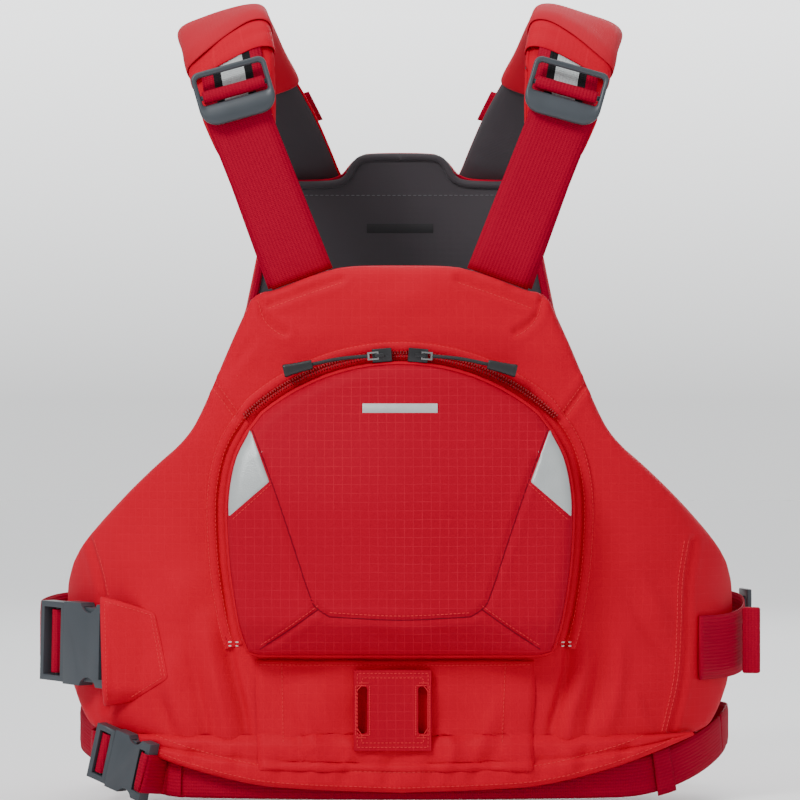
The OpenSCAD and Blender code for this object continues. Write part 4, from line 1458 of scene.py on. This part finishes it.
# ---------------------------------------------------------------- shoulders
PAD_T = 12.0
PAD_LINE = [(95, -105, -76), (100, -103, -52), (104, -97, -26), (108.5, -78, -6), (112, -48, 4), (113, -6, 6),
            (109, 36, 0), (99, 71, -20), (82, 95, -47), (66, 109, -80)]
PAD_WIDTH = [34, 46, 52, 53, 54, 54, 53, 52, 50, 48]
PAD_ROOT = 1.1
PAD_LEAN = [17, 17, 17, 17, 17, 17, 17, 18, 16, 8]
PAD_N = 3
PAD_FINE = curve(PAD_LINE, PAD_N)


class PadFrame:
    """The shoulder pad's centreline, side direction and outward direction at any station of it."""

    def __init__(self, i):
        past = max(0.0, i - (len(PAD_FINE) - 1))
        i = min(max(i, 0.0), len(PAD_FINE) - 1.0)
        k = i / PAD_N
        knots = np.arange(len(PAD_LINE))
        self.width = float(np.interp(k, knots, PAD_WIDTH))
        lean = math.radians(float(np.interp(k, knots, PAD_LEAN)))
        stations = np.arange(len(PAD_FINE))

        def at(t):
            return np.array([np.interp(t, stations, PAD_FINE[:, c]) for c in range(3)])

        self.centre = at(i) + past * (PAD_FINE[-1] - PAD_FINE[-2])
        self.across = np.array([math.cos(lean), 0, -math.sin(lean)])
        self.out = unit(np.cross(at(max(0, i - 1)) - at(min(len(PAD_FINE) - 1, i + 1)), self.across))


PAD_LENGTH = float(np.linalg.norm(np.diff(PAD_FINE, axis=0), axis=1).sum())


def mirrored(side, p):
    return np.asarray(p, float) * np.array([side, 1, 1])


def shoulder_pad(side, word):
    """A crowned pad whose edges are pinched into bound seams: red outside, grey inside."""
    stations = np.linspace(0, len(PAD_FINE) - 1 + PAD_ROOT, 100)
    n = 17
    halves = []
    edge_lines = {1: [], -1: []}
    for facing in (1, -1):
        rows, uvs = [], []
        for s, i in enumerate(stations):
            f = PadFrame(i)
            end = min(s, len(stations) - 1 - s)
            taper = math.sin(min(1.0, (end + 1.5) / 7) * math.pi / 2)
            row, uv = [], []
            for j in range(n):
                k = lerp(-1, 1, j / (n - 1))
                crown = (1 - abs(k) ** 4.0) ** 0.75 * PAD_T / 2 * taper
                pucker = 0.35 * math.sin(i * 5.1 + 2 * k) * abs(k) ** 3 * (1 - abs(k)) * 4
                crown = crown * (1.06 if facing > 0 else 0.94) + pucker + 0.25
                p = f.centre + f.across * k * f.width / 2 + f.out * facing * crown
                row.append(mirrored(side, p))
                uv.append((k * f.width / 2, PAD_LENGTH * s / len(stations)))
            rows.append(row)
            uvs.append(uv)
            if facing > 0:
                for e in (1, -1):
                    edge_lines[e].append(mirrored(side, f.centre + f.across * e * (f.width / 2 - 0.4)))
        half = grid_mesh(f"{word}_pad_{'outer' if facing > 0 else 'lining'}", rows, uvs)
        modified(half, "SOLIDIFY", thickness=0.0008, offset=-1)
        face_outward(half)
        halves.append(half)
    outer, lining = halves
    finished(outer, "vest", "shell_fabric", [f"{word}_shoulder_pad"])
    finished(lining, "vest", "liner_fabric")
    bound = [tube("edge", edge_lines[e], 1.1, 8) for e in (1, -1)]
    f = PadFrame(0)
    line = [mirrored(side, f.centre + f.across * k * f.width / 2) for k in np.linspace(-1, 1, 9)]
    bound.append(tube("end", line, 1.4, 8))
    finished(joined(f"{word}_pad_binding", bound), "vest", "shell_fabric")


def band(name, frames, width, thick, lift, n=7, edge=0.5):
    """Webbing along frames (centre, across, out): a thin closed band with rounded edges."""
    rows, uvs = [], []
    far = 0.0
    ring = []
    for j in range(n):
        ring.append((lerp(-1, 1, j / (n - 1)), 1.0))
    for j in range(n):
        ring.append((lerp(1, -1, j / (n - 1)), -1.0))
    for i, (c, across, out) in enumerate(frames):
        row, uv = [], []
        for k, top in ring:
            slim = edge if abs(k) > 0.999 else 1.0
            row.append(c + across * k * width / 2 + out * (lift + top * slim * thick / 2))
            uv.append((k * width / 2, far))
        rows.append(row)
        uvs.append(uv + [uv[0]])
        if i + 1 < len(frames):
            far += float(np.linalg.norm(frames[i + 1][0] - c))
    obj = grid_mesh(name, rows, uvs, closed=True)
    return close_ends(obj, 2 * n, len(rows))


def webbing(name, frames, width, body, replaces, lift=0.0, thick=WEB_T, material="webbing"):
    """A finished band of webbing along frames."""
    return finished(face_outward(band(name, frames, width, thick, lift)), body, material, replaces)


def pad_frames(side, lo, hi, count):
    made = []
    for i in np.linspace(lo, hi, count):
        f = PadFrame(i)
        made.append((mirrored(side, f.centre), mirrored(side, f.across), mirrored(side, f.out)))
    return made


def sleeve(name, side, front_edge, back_edge, gap, thick, hem, material, replaces=()):
    """A stretch sleeve round the pad between two slanting edges; each edge is (inner, outer) station."""
    n = 44
    rows, uvs = [], []
    steps = 30
    for s in range(steps + 1):
        t = s / steps
        row, uv = [], []
        for j in range(n):
            a = 2 * math.pi * j / n
            cx, cz = math.cos(a), math.sin(a)
            k = math.copysign(abs(cx) ** 0.42, cx)
            h = math.copysign(abs(cz) ** 0.7, cz)
            across_k = 0.5 + 0.5 * k
            i0 = lerp(*front_edge, ease(across_k, 0.1, 1.0)) + 0.12 * (h > 0) * math.cos(k * 1.5)
            i1 = lerp(*back_edge, across_k)
            f = PadFrame(lerp(i0, i1, t))
            roll = hem * (math.exp(-((t - 0.055) / 0.05) ** 2) + 0.7 * math.exp(-((t - 0.95) / 0.05) ** 2))
            crease = 0.45 * math.sin(k * 5 + t * 9 + side) * math.exp(-((t - 0.2) / 0.2) ** 2) * (h > 0)
            crease += 0.3 * math.sin(t * 23 + k * 2) * (h > 0)
            half_w = f.width / 2 + gap + roll * 0.5
            half_t = PAD_T / 2 + gap + roll + crease + (1.6 if h > 0 else 0.4)
            p = f.centre + f.across * k * half_w + f.out * h * half_t
            row.append(mirrored(side, p))
            uv.append((math.degrees(a) * 0.36, t * 110))
        rows.append(row)
        uvs.append(uv + [(129.6, t * 110)])
    obj = grid_mesh(name, rows, uvs, closed=True)
    face_outward(obj)
    modified(obj, "SOLIDIFY", thickness=thick * MM, offset=0)
    modified(obj, "SUBSURF", levels=1)
    return finished(obj, "vest", material, replaces)


BUCKLE_W, BUCKLE_L, BAR_DROP = 48.0, 33.0, 14.0
BUCKLE_AT = np.array([107, -116, -26.5])
BUCKLE_TURN = turned("X", math.radians(-10)) @ turned("Y", math.radians(16))


def lock_place(side, p):
    return mirrored(side, BUCKLE_AT + BUCKLE_TURN @ np.asarray(p, float))


def rounded_loop(w, top, bottom, r_top, r_bottom, n=10):
    """A rounded rectangle's points, anticlockwise from the right side, as (x, z)."""
    out = []
    upper, lower = w - r_top, w - r_bottom
    corners = [(upper, top - r_top, r_top, 0), (-upper, top - r_top, r_top, 90),
               (-lower, bottom + r_bottom, r_bottom, 180), (lower, bottom + r_bottom, r_bottom, 270)]
    for cx, cz, r, start in corners:
        for k in range(n):
            a = math.radians(start + 90 * k / (n - 1))
            out.append((cx + r * math.cos(a), cz + r * math.sin(a)))
    return out


def ladder_lock(side, word):
    """The rounded ladder lock: a thin top bar, widening arms and a smooth dished thumb plate."""
    outer = rounded_loop(BUCKLE_W / 2, 2.4, -BUCKLE_L, 5.0, 11.0)
    inner = rounded_loop(STRAP_W / 2 + 0.9, -1.2, -19.6, 2.4, 1.8)
    rows, uvs = [], []
    sections = [(0.0, 1.0), (0.12, 1.9), (0.38, 2.2), (0.72, 1.8), (0.93, 1.3), (1.0, 0.7)]
    ring = sections + [(k, -t) for k, t in reversed(sections)]
    for (ox, oz), (ix, iz) in zip(outer, inner):
        row, uv = [], []
        for k, t in ring:
            x, z = lerp(ox, ix, k), lerp(oz, iz, k)
            plate = ease(-z, 17, 24)
            dish = -1.1 * plate * (1 - (x / 24) ** 2) + 1.2 * ease(-z, 26, 33)
            row.append(lock_place(side, (x, -0.6 + dish * 0.6 - t * 0.95, z)))
            uv.append((x, z))
        rows.append(row)
        uvs.append(uv + [uv[0]])
    rows.append(rows[0])
    uvs.append(uvs[0])
    obj = grid_mesh(f"{word}_ladder_lock", rows, uvs, closed=True)
    bar = tube("bar", [lock_place(side, (x, 0, -BAR_DROP)) for x in np.linspace(-21.4, 21.4, 5)], 1.6, 14)
    obj = joined(f"{word}_ladder_lock", [obj, bar])
    with edited(obj) as bm:
        bmesh.ops.remove_doubles(bm, verts=bm.verts, dist=1e-6)
        bmesh.ops.recalc_face_normals(bm, faces=bm.faces)
    finished(obj, f"{word}_lock", "buckle_plastic", [f"{word}_shoulder_buckle"])


def webbing_turn(name, place, bar_r, width, body, replaces):
    """Webbing wrapped round a bar that lies along its frame's third axis, with ribs pinched by the bend."""
    rows, uvs = [], []
    n = 28
    outer, inner = bar_r + 0.25 + WEB_T, bar_r + 0.25
    ring = [(inner, -1), (outer - 0.4, -1), (outer, -0.96), (outer, -0.5), (outer, 0), (outer, 0.5),
            (outer, 0.96), (outer - 0.4, 1), (inner, 1)]
    for i in range(n + 1):
        a = 2 * math.pi * i / n
        rib = 0.12 * math.cos(a * 14)
        row = []
        for r, k in ring:
            far = r + (rib if r == outer else 0)
            row.append(place(far * math.cos(a), far * math.sin(a), k * width / 2))
        rows.append(row)
        uvs.append([(k * width / 2, outer * a) for _, k in ring] + [(-width / 2, outer * a)])
    obj = grid_mesh(name, rows, uvs, closed=True)
    face_outward(obj)
    return finished(obj, body, "webbing", replaces)


STRAP_FOOT = np.array([61, -113, -155.5])
STRAP_HEAD = np.array([103.5, -115.6, -48.5])
STRAP_DIR = unit(STRAP_FOOT - STRAP_HEAD)
STRAP_ACROSS = unit([math.cos(math.radians(20)), 0, -math.sin(math.radians(20))])
STRAP_OUT = unit(np.cross(STRAP_ACROSS, -STRAP_DIR))


def shoulder_strap(side, word):
    """The adjusting webbing, its second layer behind, and the turn round the lock's bar."""
    def stretch(a, b, count, sag):
        frames = []
        for k in np.linspace(0, 1, count):
            c = lerp(a, b, k) - STRAP_OUT * sag * math.sin(math.pi * k)
            frames.append((mirrored(side, c), mirrored(side, STRAP_ACROSS), mirrored(side, STRAP_OUT)))
        return frames

    front = stretch(STRAP_HEAD, STRAP_FOOT + STRAP_DIR * 1.5, 26, 0.4)
    webbing(f"{word}_adjusting_webbing", front, STRAP_W, "vest", [f"{word}_shoulder_webbing"])
    head = lerp(STRAP_HEAD, STRAP_FOOT, 0.4) - STRAP_OUT * 3
    foot = STRAP_FOOT - STRAP_OUT * 3 + np.array([2, 0, -1])
    back = stretch(head, foot, 16, 0.2)
    webbing(f"{word}_return_webbing", back, STRAP_W, "vest", [f"{word}_webbing_return"])

    def place(x, y, z):
        return lock_place(side, (z, x, -BAR_DROP + y))

    webbing_turn(f"{word}_lock_webbing_turn", place, 1.6, STRAP_W - 0.6, f"{word}_lock",
                 [f"{word}_buckle_webbing"])


def shoulders():
    for side, word in ((-1, "left"), (1, "right")):
        shoulder_pad(side, word)
        webbing(f"{word}_striped_webbing", pad_frames(side, 2, 13, 34), STRAP_W, "vest",
                [f"{word}_reflective_webbing"], PAD_T / 2 + 1.5, material="reflective_webbing")
        sleeve(f"{word}_under_sleeve", side, (6.5, 5.6), (11, 11), 1.5, 0.8, 0.2, "shell_fabric")
        sleeve(f"{word}_shoulder_sleeve", side, (8.8, 6.7), (22, 22), 2.3, 1.1, 1.2, "stretch_fabric",
               [f"{word}_shoulder_cap"])
        ladder_lock(side, word)
        shoulder_strap(side, word)
        f = PadFrame(24)
        down, out = mirrored(side, unit(PadFrame(25).centre - f.centre)), mirrored(side, f.out)
        across = []
        for x in np.linspace(-f.width / 2 - 3, f.width / 2 - 8, 12):
            across.append((mirrored(side, f.centre + f.across * x), down, out))
        webbing(f"{word}_back_loop", across, 22.0, "vest", [f"{word}_shoulder_loop"], PAD_T / 2 + 1.4)


shoulders()


# ---------------------------------------------------------------- side straps and belt
def frames_along(line, lean=(0, 0, 1)):
    """Frames for webbing that stands on edge along a line: across is up, out is away from the torso.

    It starts along lean and stands upright by its end.
    """
    frames = []
    for i, c in enumerate(line):
        t = tangent(line, i)
        rise = lerp(np.asarray(lean, float), np.array([0, 0, 1.0]), ease(i / len(line), 0.2, 1))
        out = unit(np.cross(t, rise))
        if out @ np.array([c[0], c[1], 0]) < 0:
            out = -out
        up = unit(np.cross(out, t))
        if up[2] < 0:
            up = -up
        frames.append((c, up, out))
    return frames


LEFT_STRAP = [(-226, -32, -384), (-230, -14, -382), (-229, 4, -380), (-222, 26, -378), (-211, 44, -377),
              (-199, 60, -377)]
# The belt's height in front, at its buckle and at the sides
BELT_Z0, BELT_Z52, BELT_Z90 = -466.5, -452.5, -441.0


def belt_z(h):
    if h > 0:
        return lerp(BELT_Z0, BELT_Z90, ease(h, 20, 90))
    return lerp(BELT_Z0, BELT_Z52, ease(-h, 20, 52)) + (BELT_Z90 - BELT_Z52) * ease(-h, 90, 120)


def belt_depth(h):
    if h > 0:
        return lerp(5, -2.2, ease(h, 84, 112))
    return 5 if h > -50 else -2.2 + 21 * (ease(-h, 50, 76) - ease(-h, 90, 114))


BELT_MOUTH = np.array([-178, -98.5, -455])
BELT_TURN = turned("Z", math.radians(-39)) @ turned("Y", math.radians(16))
SOCKET_TURN = [(24.4, -3.2, 0), (25.6, -5.2, 0), (28, -5.8, 0), (31, -5.2, 0)]


def belt_socket_place(p):
    """A point in the belt buckle's own frame, put in the shared frame."""
    return BELT_MOUTH + BELT_TURN @ np.asarray(p, float)


def bevelled(name, cad, material, body, width=0.0006, cloth=False):
    """The CAD node's own shape with its edges rounded, as moulded or folded pieces have them."""
    obj = copy_of(name, cad)
    with edited(obj) as bm:
        bmesh.ops.dissolve_limit(bm, angle_limit=math.radians(1.0), verts=bm.verts, edges=bm.edges)
    modified(obj, "BEVEL", width=width, segments=3, limit_method="ANGLE", angle_limit=math.radians(35))
    map_cloth(obj, flat=not cloth)
    finished(obj, body, material, [cad])


def belt_line(angles):
    """Points of the belt's middle at each angle round the torso."""
    return np.array([torso_point(h, belt_depth(h), belt_z(h)) for h in angles])


def sides_and_belt():
    left = frames_along(curve(LEFT_STRAP, 6))
    left = webbing("left_side_webbing", left, STRAP_W, None, ["left_side_strap"])
    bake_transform(left)
    line = []
    for h in np.linspace(50, 122, 40):
        depth = -2 - 5 * ease(h, 52, 80) + 4 * ease(h, 95, 120)
        line.append(torso_point(h, depth, lerp(-387.5, -376, ease(h, 60, 110))))
    webbing("right_side_webbing", frames_along(np.array(line)), STRAP_W, "vest", ["right_side_strap"])
    front = band("front_belt_webbing", frames_along(belt_line(np.linspace(-29, 72, 60))), BELT_W, WEB_T, 0)
    over_bar = [belt_socket_place(p) for p in SOCKET_TURN]
    over_bar += [torso_point(h, belt_depth(h) - 2.3, belt_z(h)) for h in (-26, -24, -22, -20)]
    turn = band("turn", frames_along(curve(over_bar, 5), BELT_TURN @ [0, 0, 1]), BELT_W - 0.6, WEB_T - 0.4, 0)
    front = joined("front_belt_webbing", [front, turn])
    finished(face_outward(front), "vest", "webbing", ["belt_front"])
    angles = np.linspace(72.3, 307, 120)
    line = belt_line(np.where(angles > 180, angles - 360, angles))
    back = webbing("back_belt_webbing", frames_along(line), BELT_W, None, ["belt_back"])
    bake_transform(back)
    line = [torso_point(h, 2.7, belt_z(h)) for h in np.linspace(33, 40, 8)]
    keeper = frames_along(np.array(line))
    webbing("belt_elastic_keeper", keeper, BELT_W + 5, "vest", ["belt_keeper"], thick=1.0)


def hard_parts():
    for prefix in ("side", "belt"):
        for part in ("socket", "plug", "upper_prong", "lower_prong"):
            body = "vest" if part == "socket" else f"{prefix}_{part}"
            bevelled(f"{prefix}_release_{part}", f"{prefix}_buckle_{part}", "buckle_plastic", body, 0.0007)
    bevelled("right_tri_glide", "right_side_adjuster", "buckle_plastic", "vest", 0.0006)
    bevelled("side_plug_webbing_turn", "left_side_strap_loop", "webbing", "side_plug", 0.0004)
    bevelled("belt_plug_webbing_turn", "belt_plug_loop", "webbing", "belt_plug", 0.0004)
    bevelled("right_folded_tail", "right_side_strap_tail", "webbing", "vest", 0.0015, cloth=True)
    for word in ("left", "right"):
        bevelled(f"{word}_slider_body", f"{word}_zip_slider", "slider_metal", f"{word}_slider", 0.0005)
        bevelled(f"{word}_wire_ring", f"{word}_pull_ring", "ring_metal", f"{word}_pull", 0.0002)


sides_and_belt()
hard_parts()


# ---------------------------------------------------------------- floor
def floor():
    half = 9000
    corners = [(-half, -half, 0), (half, -half, 0), (half, half, 0), (-half, half, 0)]
    obj = made_object("studio_floor", corners, [(0, 1, 2, 3)])
    obj.location.z = FLOOR_Z
    obj.data.materials.append(floor_material())


floor()
